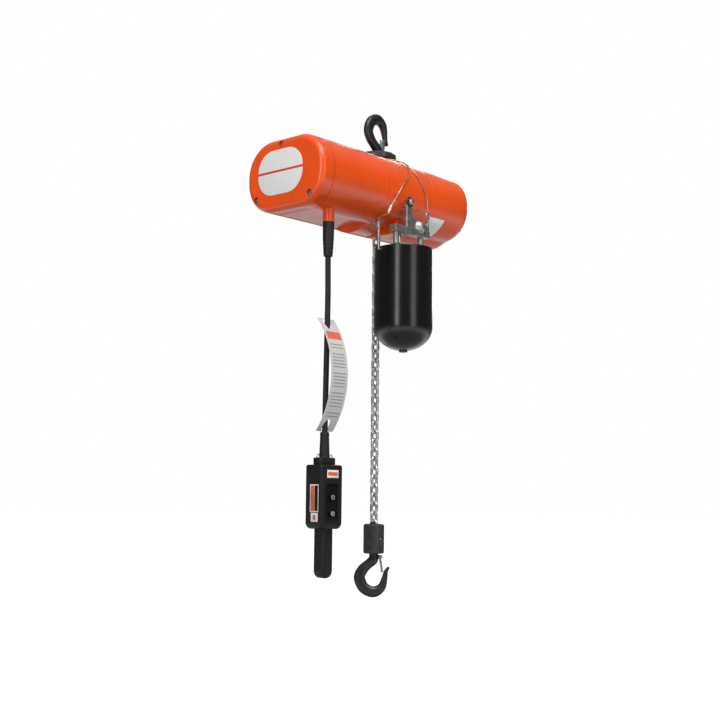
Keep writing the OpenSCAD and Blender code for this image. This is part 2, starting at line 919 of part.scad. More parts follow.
module second_reduction() {
    color("#8c8f94") {
        x_cyl(mid_web[0] + shaft_gap, right_web[1] - shaft_gap, second_axis, second_shaft_r);
        gear_of(1, stage2, second_axis, first_axis);
        pinion_of(2, stage3, second_axis, wheel_axis);
    }
}

module final_gear() {
    color("#8c8f94")
        difference() {
            gear_of(2, stage3, wheel_axis, second_axis);
            x_cyl(stage3[0] - eps, stage3[1] + eps, wheel_axis, lift_shaft_r);
        }
}

module lift_shaft() {
    color("silver") {
        x_cyl(left_web[0] - 2, stage3[1] + 1, wheel_axis, lift_shaft_r);
        x_cyl(limit_gear[0], left_web[0] - 1, wheel_axis, lift_tail_r);
        gear(limit_gear, wheel_axis, limit_teeth[0], limit_module, bearing_of(wheel_axis, limit_axis));
    }
}

module lift_wheel() {
    pocket_gap = 0.4;
    rim_r = upright_r + 3.5;
    color("#6f7276")
        difference() {
            x_cyl(-wheel_half, wheel_half, wheel_axis, rim_r);
            ring_x(-chain_wire / 2 - pocket_gap, chain_wire / 2 + pocket_gap, wheel_axis,
                upright_r - chain_w / 2 - pocket_gap, rim_r + eps);
            for (k = [0:2:2 * pockets - 2])
                translate([0, wheel_axis[0], wheel_axis[1]])
                    rotate([k * link_angle, 0, 0])
                        translate([0, flat_r - chain_wire / 2 - pocket_gap, 0])
                            rotate([-90, 0, 0])
                                linear_extrude(rim_r)
                                    round_rect(chain_w + 2 * pocket_gap, link_len + 2 * pocket_gap,
                                        chain_w / 2 + pocket_gap - 0.1);
            x_cyl(-wheel_half - eps, wheel_half + eps, wheel_axis, lift_shaft_r);
        }
}

module frame_bearings() {
    color("silver") {
        for (b = bearings)
            ring_x(b[0][0], b[0][1], b[1], b[2] + run_fit, b[3]);
        ring_x(bell_x[0], bell_x[1], motor_axis, motor_shaft_r + run_fit, 16);
    }
}

module stator_core() {
    color("#5d6066")
        difference() {
            x_cyl(stator_x[0], stator_x[1], motor_axis, stator_d / 2);
            x_cyl(stator_x[0] - eps, stator_x[1] + eps, motor_axis, rotor_d / 2 + air_gap);
        }
}

module stator_windings() {
    color("#b5652a")
        for (x = [stator_x[0] - 10 - near, stator_x[1] + near])
            ring_x(x, x + 10, motor_axis, rotor_d / 2 + 3, stator_d / 2 - 6);
}

module brake_housing() {
    color("#4a4c50")
        difference() {
            union() {
                x_cyl(bell_x[0], bell_x[1], motor_axis, stator_d / 2);
                for (a = [45:90:315]) {
                    x_cyl(stator_x[1], bell_x[0] + 1, polar(motor_axis, a, stator_d / 2 - 3), 2.5);
                    x_cyl(bell_x[1] - 1, disc_x[1] + 3, polar(motor_axis, a, 43), 4);
                }
                ring_x(disc_x[1] + 2, disc_x[1] + 13, motor_axis, 12, 47);
            }
            x_cyl(bell_x[0] - eps, bell_x[1] + eps, motor_axis, 16);
        }
}

module brake_disc() {
    color("#8f6b4a")
        ring_x(disc_x[0], disc_x[1], motor_axis, motor_shaft_r, 37);
}

// ---- control compartment ----
panel_x = [x_cover + 10, x_frame - 22];
panel_y = body_off + body_w / 2 - wall - 26;

module control_panel() {
    color("#c8cacc")
        difference() {
            union() {
                box([panel_x[0], panel_y, body_mid - 29.5], [panel_x[1], panel_y + 2, body_mid + 29.5]);
                for (x = [panel_x[0] + 60, panel_x[1] - 8])
                    y_cyl(panel_y + 1, body_off + body_w / 2 - wall, x, body_mid, 5);
                for (i = [0:7])
                    box([panel_x[1] - 38 + i * 4.5, panel_y - 12, body_mid - 27.5],
                        [panel_x[1] - 34.5 + i * 4.5, panel_y + 1, body_mid - 13.5]);
            }
            y_cyl(panel_y - eps, panel_y + 3, gland_at[0], gland_at[1], gland_r + 1);
        }
}

module contactor() {
    color("#2b2c30") {
        box([panel_x[0] + 48, panel_y - 52, body_mid + 12.5], [panel_x[0] + 100, panel_y, body_mid + 40.5]);
        box([panel_x[0] + 56, panel_y - 60, body_mid + 17.5], [panel_x[0] + 92, panel_y - 51.5, body_mid + 35.5]);
    }
}

module transformer() {
    color("#6a5a40") {
        box([panel_x[0] + 46, panel_y - 40, body_mid - 40.5], [panel_x[0] + 86, panel_y - 25, body_mid - 0.5]);
        box([panel_x[0] + 52, panel_y - 45, body_mid - 34.5], [panel_x[0] + 80, panel_y, body_mid - 6.5]);
    }
}

ear_x = [left_web[0] - 46, left_web[0] - 10];

module limit_switches() {
    color("#3d5a80")
        difference() {
            union() {
                box([ear_x[0], limit_axis[0] + 12, limit_axis[1] - 9], [left_web[0], limit_axis[0] + 16, limit_axis[1] + 20]);
                for (x = ear_x)
                    box([x, limit_axis[0] - 8, limit_axis[1] - 8], [x + 5, limit_axis[0] + 13, limit_axis[1] + 8]);
                for (x = [ear_x[0] + 7, ear_x[1] - 11])
                    box([x, limit_axis[0] - 4, limit_axis[1] + 12], [x + 9, limit_axis[0] + 13, limit_axis[1] + 20]);
            }
            x_cyl(ear_x[0] - eps, ear_x[1] + 6, limit_axis, limit_r + run_fit);
        }
}

module limit_shaft() {
    color("silver") {
        x_cyl(limit_gear[0], ear_x[1] + 5, limit_axis, limit_r);
        gear(limit_gear, limit_axis, limit_teeth[1], limit_module,
            bearing_of(limit_axis, wheel_axis) + 180 / limit_teeth[1]);
    }
}

module limit_nuts() {
    color("#b59a4c")
        difference() {
            for (x = [ear_x[0] + 9, ear_x[1] - 12])
                box([x, limit_axis[0] - 7, limit_axis[1] - 7], [x + 5, limit_axis[0] + 11.5, limit_axis[1] + 9]);
            x_cyl(ear_x[0], ear_x[1], limit_axis, limit_r + run_fit);
        }
}

// ---- chain guide ----
module chain_guide() {
    slot_gap = 0.5;
    color("#9a9da2")
        difference() {
            box([-guide_x, guide_y[0], guide_bot], [guide_x, guide_y[1], guide_top - near]);
            for (y = [0, slack_y]) {
                translate([0, y, guide_bot - eps])
                    linear_extrude(guide_top - guide_bot + 2 * eps) {
                        square([chain_w + 2 * slot_gap, chain_wire + 2 * slot_gap], center = true);
                        square([chain_wire + 2 * slot_gap, chain_w + 2 * slot_gap], center = true);
                    }
            }
        }
}

// ---- chain container and its bracket ----
eye_t = 9;
bar_x = [-66, 46];
bar_y = [body_front - 13, body_front + 4];
bar_h = 15;
stem_r = 9;
clip_x = 46;
clip_y = body_front - 7;
clip_top = body_bot + 26;
clip_r = 2.5;
blob_r = 15;

// Plate of an (X, Z) outline that stands off the body's front face from y0 to y1
module slab_at_front(y0, y1) {
    translate([0, body_front + y1, 0])
        rotate([90, 0, 0])
            linear_extrude(y1 - y0)
                children();
}

module container_bracket() {
    color("#9ea3a1") {
        difference() {
            union() {
                y_cyl(body_front - eye_t, body_front - near, bolt_at[0], bolt_at[1], stem_r);
                box([bolt_at[0] - stem_r, body_front - eye_t, bracket_z], [bolt_at[0] + stem_r, body_front - near, bolt_at[1]]);
                box([bar_x[0], bar_y[0], bracket_z - bar_h / 2], [bar_x[1], bar_y[1], bracket_z + bar_h / 2]);
                slab_at_front(-eye_t, -near)
                    polygon([[bolt_at[0] - stem_r, bracket_z], [bolt_at[0] - stem_r, bracket_z + 24], [bolt_at[0] + stem_r, bracket_z + 30],
                        [bolt_at[0] + 32, bracket_z + 26], [clip_x, bracket_z + 20], [clip_x, bracket_z]]);
                translate([bolt_at[0] + 34, body_front - 5, bracket_z + 13])
                    sphere(r = blob_r, $fn = 64);
                z_cyl(bracket_z, clip_top - 6, clip_x, clip_y, clip_r);
            }
            y_cyl(body_front - 2 * eye_t, body_front, bolt_at[0], bolt_at[1], bolt_r);
            box([bar_x[0] - eps, body_front - near, bracket_z + bar_h / 2], [bar_x[1] + eps, body_front + 30, bolt_at[1]]);
        }
        translate([clip_x, clip_y, clip_top])
            rotate([90, 0, 0])
                rotate_extrude($fn = round_fn)
                    translate([6, 0])
                        circle(r = clip_r - 0.4, $fn = 24);
    }
}

hanger_x = [-56, 24];
hanger_y = (bar_y[0] + bar_y[1]) / 2;
rear_angle = 135;
rear_hanger = polar(container_c, rear_angle, container_r - container_wall - 4);
strap_z = rim_z - 8;
rod_r = 3;

module container_hangers() {
    color("#b4b8ba") {
        for (x = hanger_x) {
            z_cyl(strap_z - 6, bracket_z - bar_h / 2, x, hanger_y, rod_r);
            z_cyl(rim_z + 4, bracket_z - bar_h / 2, x, hanger_y, 2 * rod_r);
        }
        difference() {
            box([container_c[0] - container_r + container_wall, hanger_y - 8, strap_z - 3],
                [container_c[0] + container_r - container_wall, hanger_y + 8, strap_z]);
            difference() {
                z_cyl(strap_z - 5, strap_z + 5, container_c[0], container_c[1], 2 * container_r);
                z_cyl(strap_z - 6, strap_z + 6, container_c[0], container_c[1], container_r - container_wall - 0.05);
            }
        }
        z_cyl(rim_z - 14, body_bot + 16, rear_hanger[0], rear_hanger[1], rod_r);
        z_cyl(body_bot - 8, body_bot + 2, rear_hanger[0], rear_hanger[1], 2 * rod_r);
        translate([rear_hanger[0], rear_hanger[1], rim_z - 9])
            rotate([0, 90, rear_angle])
                cylinder(h = 4 + container_wall + 2, r = 2, $fn = round_fn);
    }
}

module container_profile(r, h, dome) {
    polygon(concat([[0, 0], [r, 0]], [for (a = [0:10:90]) [r * cos(a), -h - dome * sin(a)]]));
}

module chain_container() {
    color("#17181a")
        translate([container_c[0], container_c[1], rim_z])
            difference() {
                union() {
                    rotate_extrude($fn = 96)
                        container_profile(container_r, container_h, container_dome);
                    translate([0, 0, -container_h - container_dome - 3])
                        cylinder(h = 6, r = 9, $fn = round_fn);
                }
                translate([0, 0, 0.01])
                    rotate_extrude($fn = 96)
                        container_profile(container_r - container_wall, container_h, container_dome - container_wall);
                translate([0, 0, -1])
                    cylinder(h = 3, r = container_r - container_wall, $fn = 96);
                for (a = [[rear_angle, -9], [snap_angle, -7]])
                    translate([0, 0, a[1]])
                        rotate([0, 90, a[0]])
                            cylinder(h = 2 * container_r, r = 2 + 0.02, $fn = round_fn);
            }
}

// ---- safety wire: from the rear hanger over the body, round the collar and down to the clip ----
wire_lift = 1.3;
wire_out = safety_wire_d / 2 + wire_lift;
wire_y = body_front - wire_out;
wire_top = body_top + wire_out;
wire_ring = groove_r + wire_out;
function over_edge(x, a) =
    [x, corner_front - (corner_r + wire_out) * cos(a), corner_high + (corner_r + wire_out) * sin(a)];
function over_at(x, y) = over_edge(x, acos(max(0, (corner_front - y) / (corner_r + wire_out))));
function round_collar(a) = [wire_ring * cos(a), wire_ring * sin(a), wire_top];
sleeve_high = [-70, wire_y, body_bot + 27];
sleeve_low = [-77, wire_y, body_bot + 14];
snap_angle = 165;
snap_at = polar(container_c, snap_angle, container_r + 3);
snap_top = [snap_at[0], snap_at[1], body_bot - 6];

wire_points = concat(
    [[clip_x, clip_y, clip_top + 6 + clip_r], [clip_x + 2, wire_y, clip_top + 36]],
    [over_edge(37, 4), over_edge(24, 23), over_edge(16, 44), over_edge(15, 62), over_at(17, -wire_ring - 4.9)],
    [for (i = [0:6]) round_collar(-30 + 44 * i)],
    [over_at(-4, -wire_ring - 3.6), over_edge(6, 65), over_edge(8, 50), over_edge(3, 33), over_edge(-11, 16), over_edge(-30, 1)],
    [[-48, wire_y, body_bot + 56], sleeve_high]
);
loop_points = [sleeve_low, sleeve_low + 0.4 * (sleeve_low - sleeve_high), snap_top + [0, -3, 12], snap_top + [0, 0, 0.1]];

module safety_wire() {
    color("#c9a25e")
        for (points = [wire_points, loop_points])
            tube(smooth(points, 3), safety_wire_d / 2, 8);
}

module wire_sleeve() {
    color("#cfc3a0")
        translate(sleeve_low)
            rotate([0, atan2(sleeve_high[0] - sleeve_low[0], sleeve_high[2] - sleeve_low[2]), 0])
                translate([0, 0, 2 * near])
                    cylinder(h = norm(sleeve_high - sleeve_low) - 4 * near, r = safety_wire_d + 0.5, $fn = 32);
    color("silver") {
        z_cyl(rim_z - 7, snap_top[2], snap_at[0], snap_at[1], 1.8);
        translate([container_c[0], container_c[1], rim_z - 7])
            rotate([0, 90, snap_angle])
                translate([0, 0, container_r - container_wall - 2])
                    cylinder(h = container_wall + 7, r = 2, $fn = round_fn);
    }
}

// ---- hook block ----
cavity_r = nut_r + near;
cavity_top = block_bot + block_floor + bearing_t + nut_t + 2 * near + 1;

module block_half(s) {
    difference() {
        intersection() {
            translate([0, 0, block_bot])
                rotate_extrude($fn = 96)
                    polygon([[0, 0], [block_d / 2 - 2, 0], [block_d / 2, 2], [block_d / 2, block_h - 3],
                        [block_d / 2 - 3, block_h], [0, block_h]]);
            box([-block_d, s > 0 ? near / 4 : -block_d, block_bot - eps],
                [block_d, s > 0 ? block_d : -near / 4, block_top + eps]);
        }
        z_cyl(block_bot - eps, cavity_top, 0, 0, shank_d / 2 + shank_fit);
        z_cyl(block_bot + block_floor, cavity_top, 0, 0, cavity_r);
        box([-chain_w / 2 - 0.5, -chain_wire / 2 - 0.5, cavity_top - 0.5], [chain_w / 2 + 0.5, chain_wire / 2 + 0.5, block_top + eps]);
        box([-chain_wire / 2 - 0.5, -chain_w / 2 - 0.5, pin_z + block_pin_d / 2 + 1.5], [chain_wire / 2 + 0.5, chain_w / 2 + 0.5, block_top + eps]);
        y_cyl(-block_d, block_d, 0, pin_z, block_pin_d / 2);
        if (s > 0)
            y_cyl(block_d / 2 - 4, block_d, 0, pin_z, block_pin_d / 2 + 2);
        else
            y_cyl(-block_d, -block_d / 2 + 4, 0, pin_z, block_pin_d / 2 + 2);
    }
}

module block_front() {
    color("#2a2b2e")
        block_half(-1);
}

module block_back() {
    color("#2a2b2e")
        block_half(1);
}

module block_pin() {
    color("silver")
        y_cyl(-block_d / 2 + 2, block_d / 2 - 2, 0, pin_z, block_pin_d / 2);
}

module lower_thrust_bearing() {
    color("silver")
        thrust_bearing(block_bot + block_floor);
}

module lower_hook() {
    color("#1c1c1e")
        at_lower_hook()
            hook(lower_shank);
}

module lower_hook_nut() {
    color("#3a3a3e")
        hook_nut(block_bot + block_floor + bearing_t + near);
}

module lower_latch_hinge() {
    color("silver")
        at_lower_hook()
            latch_hinge();
}

module lower_latch() {
    color("silver")
        at_lower_hook()
            latch();
}

// ---- pendant ----
module strain_relief() {
    color("#1b1b1d")
        translate([cable_top[0], cable_top[1], 0])
            difference() {
                translate([0, 0, relief_tip])
                    rotate_extrude($fn = 64)
                        polygon([[0, 0], [9, 0], [10, 8], [11, 40], [cable_d / 2 + 6, boss_bot - near - relief_tip],
                            [0, boss_bot - near - relief_tip]]);
                translate([0, 0, cable_top[2]])
                    sphere(r = cable_d / 2 + near, $fn = 48);
                translate([0, 0, relief_tip - eps])
                    cylinder(h = cable_top[2] - relief_tip + eps, r1 = cable_d / 2 + 2.5, r2 = cable_d / 2 + near, $fn = 48);
            }
    color("#1b1b1d")
        z_cyl(boss_bot - near - 1, body_bot + wall + 6, cable_top[0], cable_top[1], cable_d / 2 + 2 - 0.02);
}

module pendant_cable() {
    color("#1d1d20")
        tube(smooth(cable_route, 4), cable_d / 2, 12);
}

tag_top = -455;
tag_bot = -682;
tag_t = 0.8;
tag_half = (tag_top - tag_bot) / 2 - 10;
tag_x = cable_top[0] + 3;
tag_r = (tag_half * tag_half + tag_bow * tag_bow) / (2 * tag_bow);

module cable_tag() {
    color("#eeeeea")
        difference() {
            intersection() {
                translate([tag_x - tag_w / 2, cable_top[1] - tag_bow + tag_r, (tag_top + tag_bot) / 2])
                    rotate([0, 90, 0])
                        difference() {
                            cylinder(h = tag_w, r = tag_r + tag_t / 2, $fn = 180);
                            translate([0, 0, -eps])
                                cylinder(h = tag_w + 2 * eps, r = tag_r - tag_t / 2, $fn = 180);
                        }
                box([cable_top[0] - tag_w, cable_top[1] - 2 * tag_bow, tag_bot], [cable_top[0] + tag_w, cable_top[1] + tag_bow, tag_top]);
            }
            for (z = [tag_top - 30, tag_bot + 1.5])
                z_cyl(z, z + 28.5, cable_top[0] - 1, cable_top[1], cable_d / 2 + 3);
        }
}

module at_pendant() {
    translate([cable_end[0], cable_end[1], 0])
        rotate([0, 0, pendant_turn])
            children();
}

module cable_boot() {
    color("#19191b")
        at_pendant()
            difference() {
                translate([0, 0, clamp_top])
                    rotate_extrude($fn = 64)
                        polygon([[0, 0], [10.5, 0], [10, boot_top - clamp_top - 4], [9, boot_top - clamp_top], [0, boot_top - clamp_top]]);
                z_cyl(cable_end[2] - near, boot_top + eps, 0, 0, cable_d / 2 + near);
            }
}

clamp_w = 44;
clamp_d = 26;
clamp_screw_x = 17;

module cable_clamp() {
    color("#1f2022")
        at_pendant() {
            translate([0, 0, box_top])
                linear_extrude(clamp_top - box_top)
                    round_rect(clamp_w, clamp_d, 8);
            for (s = [-1, 1])
                translate([s * clamp_screw_x, 0, clamp_top + 2.5])
                    rotate([90, 0, 0])
                        rotate_extrude($fn = 32)
                            translate([3.6, 0])
                                circle(r = 1.2, $fn = 16);
        }
}

front_y = -pendant_d / 2;
split_y = -2;
button_z = [box_top - 64, box_top - 96];
panel_z = [button_z[1] - 18, button_z[0] + 27];
panel_w = 34;
panel_depth = 3;

module box_outline(inset) {
    translate([0, (box_top + box_bot) / 2])
        round_rect(pendant_w - 2 * inset, pendant_h - 2 * inset, 10 - inset);
}

module grip_outline(inset) {
    translate([0, box_bot - grip_h / 2 + 10])
        round_rect(grip_w - 2 * inset, grip_h + 20 - 2 * inset, grip_w / 2 - 2 - inset);
}

// Slab of an outline seen from the front, from y0 back to y1
module slab(y0, y1) {
    translate([0, y1, 0])
        rotate([90, 0, 0])
            linear_extrude(y1 - y0)
                children();
}

module pendant_front() {
    color("#1b1c1e")
        at_pendant()
            difference() {
                union() {
                    slab(front_y, split_y)
                        box_outline(0);
                    slab(-grip_d / 2, split_y)
                        grip_outline(0);
                }
                slab(front_y + pendant_wall + panel_depth, split_y + eps)
                    box_outline(pendant_wall);
                slab(-grip_d / 2 + pendant_wall, split_y + eps)
                    grip_outline(pendant_wall);
                box([-panel_w / 2, front_y - eps, panel_z[0]], [panel_w / 2, front_y + panel_depth, panel_z[1]]);
                for (z = button_z)
                    y_cyl(front_y - eps, front_y + 12, 0, z, button_d / 2 + button_gap);
            }
}

module pendant_back() {
    color("#1b1c1e")
        at_pendant()
            difference() {
                union() {
                    slab(split_y + 0.05, pendant_d / 2)
                        box_outline(0);
                    slab(split_y + 0.05, grip_d / 2)
                        grip_outline(0);
                }
                slab(split_y - eps, pendant_d / 2 - pendant_wall)
                    box_outline(pendant_wall);
                slab(split_y - eps, grip_d / 2 - 2 * pendant_wall)
                    grip_outline(pendant_wall);
                for (p = pendant_screw_at)
                    y_cyl(pendant_d / 2 - 2, pendant_d, p[0], p[1], 3.4);
                for (i = [0:5])
                    translate([-grip_w, grip_d / 2 + 1.5, box_bot - 16 - i * 13])
                        rotate([0, 90, 0])
                            cylinder(h = 2 * grip_w, r = 4, $fn = round_fn);
            }
}

pendant_screw_at = [for (sx = [-1, 1], z = [box_top - 10, box_bot + 14]) [sx * (pendant_w / 2 - 8), z]];

module pendant_screws() {
    color("silver")
        at_pendant()
            for (p = pendant_screw_at)
                difference() {
                    y_cyl(pendant_d / 2 - 2 + 0.02, pendant_d / 2 - 0.4, p[0], p[1], 3.1);
                    box([p[0] - 2.4, pendant_d / 2 - 1.2, p[1] - 0.4], [p[0] + 2.4, pendant_d / 2 + eps, p[1] + 0.4]);
                }
}

module switch_block() {
    color("#45474b")
        at_pendant()
            difference() {
                box([-15, front_y + 16, button_z[1] - 16], [15, pendant_d / 2 - pendant_wall - near, button_z[0] + 16]);
                for (z = button_z)
                    y_cyl(front_y + 15, front_y + 16 + button_travel + 6, 0, z, 3.5);
            }
}

button_proud = 6.5;
stem_back = 3;

module button(z) {
    at_pendant() {
        y_cyl(front_y + panel_depth - button_proud + 1, front_y + 10, 0, z, button_d / 2);
        y_cyl(front_y + panel_depth - button_proud, front_y + panel_depth - button_proud + 1.5, 0, z, button_d / 2 - 1);
        y_cyl(front_y + 9, front_y + 16 + stem_back, 0, z, 3.2);
    }
}

module up_button() {
    color("#2c2d31")
        button(button_z[0]);
}

module down_button() {
    color("#2c2d31")
        button(button_z[1]);
}

upper_hook();
upper_hook_nut();
upper_latch_hinge();
upper_latch();
suspension_block();
upper_thrust_bearing();
end_cover();
housing_screws();
badge_plate();
control_housing();
gear_frame();
motor_cover();
housing_gaskets();
rating_plate();
power_gland();
chain_guide();
frame_bearings();
stator_core();
stator_windings();
brake_housing();
control_panel();
contactor();
transformer();
limit_switches();
limit_shaft();
limit_nuts();
motor_rotor();
brake_disc();
first_reduction();
second_reduction();
lift_wheel();
lift_shaft();
final_gear();
wheel_chain();
load_chain();
slack_chain();
container_bracket();
container_hangers();
chain_container();
safety_wire();
wire_sleeve();
block_front();
block_back();
block_pin();
lower_thrust_bearing();
lower_hook();
lower_hook_nut();
lower_latch_hinge();
lower_latch();
strain_relief();
pendant_cable();
cable_tag();
cable_boot();
cable_clamp();
pendant_front();
pendant_back();
pendant_screws();
switch_block();
up_button();
down_button();
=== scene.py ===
"""Electric chain hoist: the finishes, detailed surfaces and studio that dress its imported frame."""

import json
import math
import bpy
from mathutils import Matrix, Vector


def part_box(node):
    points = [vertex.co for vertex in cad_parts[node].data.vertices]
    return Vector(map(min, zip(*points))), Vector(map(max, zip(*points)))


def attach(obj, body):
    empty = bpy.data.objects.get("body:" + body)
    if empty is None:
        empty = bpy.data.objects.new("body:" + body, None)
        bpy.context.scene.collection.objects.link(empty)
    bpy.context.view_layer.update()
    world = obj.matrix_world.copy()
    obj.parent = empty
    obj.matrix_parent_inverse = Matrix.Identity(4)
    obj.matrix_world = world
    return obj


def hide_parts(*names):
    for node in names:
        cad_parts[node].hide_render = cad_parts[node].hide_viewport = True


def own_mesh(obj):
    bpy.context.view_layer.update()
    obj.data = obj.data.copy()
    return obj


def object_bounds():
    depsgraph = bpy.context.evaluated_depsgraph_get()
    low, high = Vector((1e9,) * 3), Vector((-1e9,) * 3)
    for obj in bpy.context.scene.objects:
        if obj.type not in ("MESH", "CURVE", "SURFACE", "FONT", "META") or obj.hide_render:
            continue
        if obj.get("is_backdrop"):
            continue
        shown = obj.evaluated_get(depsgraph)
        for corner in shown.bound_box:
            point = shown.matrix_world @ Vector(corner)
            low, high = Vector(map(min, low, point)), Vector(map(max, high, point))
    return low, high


bl_info = {
    "name": "Chain Hoist Dressing",
    "version": (1, 0, 0),
    "blender": (4, 5, 0),
    "location": "3D View > Sidebar > Chain hoist",
    "description": "Dresses the packed frame of an electric chain hoist with finishes, surfaces and a studio",
    "category": "Add Mesh",
}

import bmesh
import bpy
import numpy as np
from bpy.props import FloatProperty, FloatVectorProperty, IntProperty, PointerProperty
from bpy.types import Operator, Panel, PropertyGroup
from mathutils import Matrix, Vector

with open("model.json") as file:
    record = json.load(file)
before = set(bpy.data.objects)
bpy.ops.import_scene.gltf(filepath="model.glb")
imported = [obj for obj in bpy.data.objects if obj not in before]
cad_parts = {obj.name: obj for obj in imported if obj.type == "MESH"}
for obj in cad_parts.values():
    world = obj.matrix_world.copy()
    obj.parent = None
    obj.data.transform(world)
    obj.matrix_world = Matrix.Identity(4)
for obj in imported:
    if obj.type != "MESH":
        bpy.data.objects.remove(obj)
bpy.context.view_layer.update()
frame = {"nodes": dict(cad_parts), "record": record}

MM = 0.001
NODES = frame["nodes"]
JOINTS = {joint["name"]: joint for joint in frame["record"]["behaviour"]["joints"]}


def spans(node):
    """Lowest and highest corner of a CAD node, in millimetres."""
    return tuple(np.array(corner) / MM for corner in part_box(node))


# ---- levels and stations of the frame, in millimetres ----
COVER = spans("end_cover")
MOTOR = spans("motor_cover")
BODY_C = np.array([(COVER[0][1] + COVER[1][1]) / 2, (COVER[0][2] + COVER[1][2]) / 2])
BODY_W = COVER[1][1] - COVER[0][1]
BODY_H = COVER[1][2] - COVER[0][2]
BODY_TOP = BODY_C[1] + BODY_H / 2
BODY_BOTTOM = BODY_C[1] - BODY_H / 2
BODY_FRONT = COVER[0][1]
CORNER_R = 69.0
WALL = 5.0
BELLY_R = 78.0
BELLY_C = np.array([BODY_C[0], MOTOR[0][2] + BELLY_R])
COVER_FILLET = 13.0
MOTOR_FILLET = 33.0
SCREW_IN = CORNER_R - 13.0
SCREW_R = 3.4

WIRE = 6.3
PITCH = 19.1
LINK_W = 21.0
LINK_INNER = PITCH + 0.1
LINK_END = (LINK_W - WIRE) / 2
LINK_ARC = LINK_INNER / 2 - LINK_END + WIRE / 2
POCKETS = 5
CROWN = (LINK_INNER + WIRE) / 2
NIP = (LINK_INNER - WIRE) / 2 - 0.05
FLAT_R = (CROWN * math.cos(math.pi / POCKETS) + NIP) / math.sin(math.pi / POCKETS)
UPRIGHT_R = FLAT_R * math.cos(math.pi / POCKETS) + CROWN * math.sin(math.pi / POCKETS)
WHEEL_Z = BODY_TOP - 79.0
TOP_LINKS = 2
HANGING = 38

CONTAINER_AT = (-17.0, -92.0)
SLACK_RUN = range(4, 11)
# (radius, links, height) of each layer of the heap
HEAP = [(34, 11, 9), (15, 4, 9), (38, 12, 21), (19, 6, 21), (33, 10, 32), (13, 4, 32)]
HEAP_TILT = math.radians(42)

CABLE = 11.5
CABLE_ROUTE = [(-200, -46, -325), (-200, -46, -340), (-199, -46, -420), (-201, -46, -560), (-203, -46, -700)]
BOOT_FOOT, BOOT_HEAD = -735.0, -684.0
PENDANT_AT = (-203.0, -46.0)
PRESS = JOINTS["up_press"]["axis"]
PENDANT_TURN = math.atan2(-PRESS[0], PRESS[1])
BOX_TOP = spans("pendant_front")[1][2]
BOX_H = 126.0
PENDANT_W = 58.0
PENDANT_D = 48.0
PENDANT_WALL = 2.5
GRIP_D = 28.0
BUTTON_Z = [(spans(node)[0][2] + spans(node)[1][2]) / 2 for node in ("up_button", "down_button")]
FINGER_PITCH = 13

X, Y = (1, 0, 0), (0, 1, 0)


# ---- shapes: points in millimetres with the faces of their grid ----
def quads(rows, cols, ring=False):
    """Faces of a grid whose columns close on themselves, and its rows too where it is a ring."""
    i = np.arange(rows if ring else rows - 1)[:, None]
    j = np.arange(cols)[None, :]
    down, across = (i + 1) % rows, (j + 1) % cols
    faces = [i * cols + j, i * cols + across, down * cols + across, down * cols + j]
    return np.stack(faces, -1).reshape(-1, 4)


def skin(rings, caps=True, ring=False):
    """Surface over closed rings. With caps, each end is drawn in to its middle, so the shell is closed."""
    rings = np.asarray(rings, float)
    if caps:
        ends = [np.repeat(end.mean(0)[None, None], rings.shape[1], 1) for end in (rings[0], rings[-1])]
        rings = np.concatenate([ends[0], rings, ends[1]])
    return rings.reshape(-1, 3), quads(rings.shape[0], rings.shape[1], ring)


def circle(sides):
    """Cosines and sines of evenly spaced bearings."""
    a = 2 * np.pi * np.arange(sides) / sides
    return np.cos(a), np.sin(a)


def quarter(steps):
    """How far a quarter circle of unit radius has turned in, and how far it has come along, at each step."""
    a = np.linspace(0, np.pi / 2, steps)
    return 1 - np.sin(a), 1 - np.cos(a)


def unit(rows):
    """Each row divided by its length."""
    return rows / np.linalg.norm(rows, axis=1, keepdims=True)


def sweep(path, out, side, x, y):
    """Rings round a path: at each of its points, x along the first normal and y along the second."""
    return path[:, None] + x[..., None] * out[:, None] + y[..., None] * side[:, None]


def catmull(points, steps):
    """Smooth curve through points: on each stretch, the Catmull-Rom cubic of the four points round it."""
    p = np.asarray(points, float)
    q = np.concatenate([p[:1], p, p[-1:]])
    t = (np.arange(steps) / steps)[None, :, None]
    a, b, c, d = (q[k : len(q) - 3 + k, None] for k in range(4))
    curve = 0.5 * (2 * b + (c - a) * t + (2 * a - 5 * b + 4 * c - d) * t**2 + (3 * b - a - 3 * c + d) * t**3)
    return np.concatenate([curve.reshape(-1, p.shape[1]), p[-1:]])


def frames(path):
    """Two normals of a path that turn with it as little as they can."""
    tangent = unit(np.gradient(path, axis=0))
    normal, u = np.empty_like(tangent), np.array((1, 0.2, 0.1))
    for i, t in enumerate(tangent):
        u = u - (u @ t) * t
        u /= np.linalg.norm(u)
        normal[i] = u
    return normal, np.cross(tangent, normal)


def tube(path, radius, sides, strands=0, lay=20.0):
    """Tube: centre + r (cos a N + sin a B). In strands, which turn once a lay, r falls by a fifth between."""
    path = np.asarray(path, float)
    c, s = circle(sides)
    r = np.broadcast_to(np.asarray(radius, float), len(path))[:, None] * np.ones(sides)
    if strands:
        along = np.concatenate([[0], np.cumsum(np.linalg.norm(np.diff(path, axis=0), axis=1))])
        turn = 2 * np.pi * (np.arange(sides)[None] / sides - along[:, None] / lay)
        r = r * (1 - 0.2 * (1 - np.abs(np.cos(strands / 2 * turn))))
    return skin(sweep(path, *frames(path), r * c, r * s))


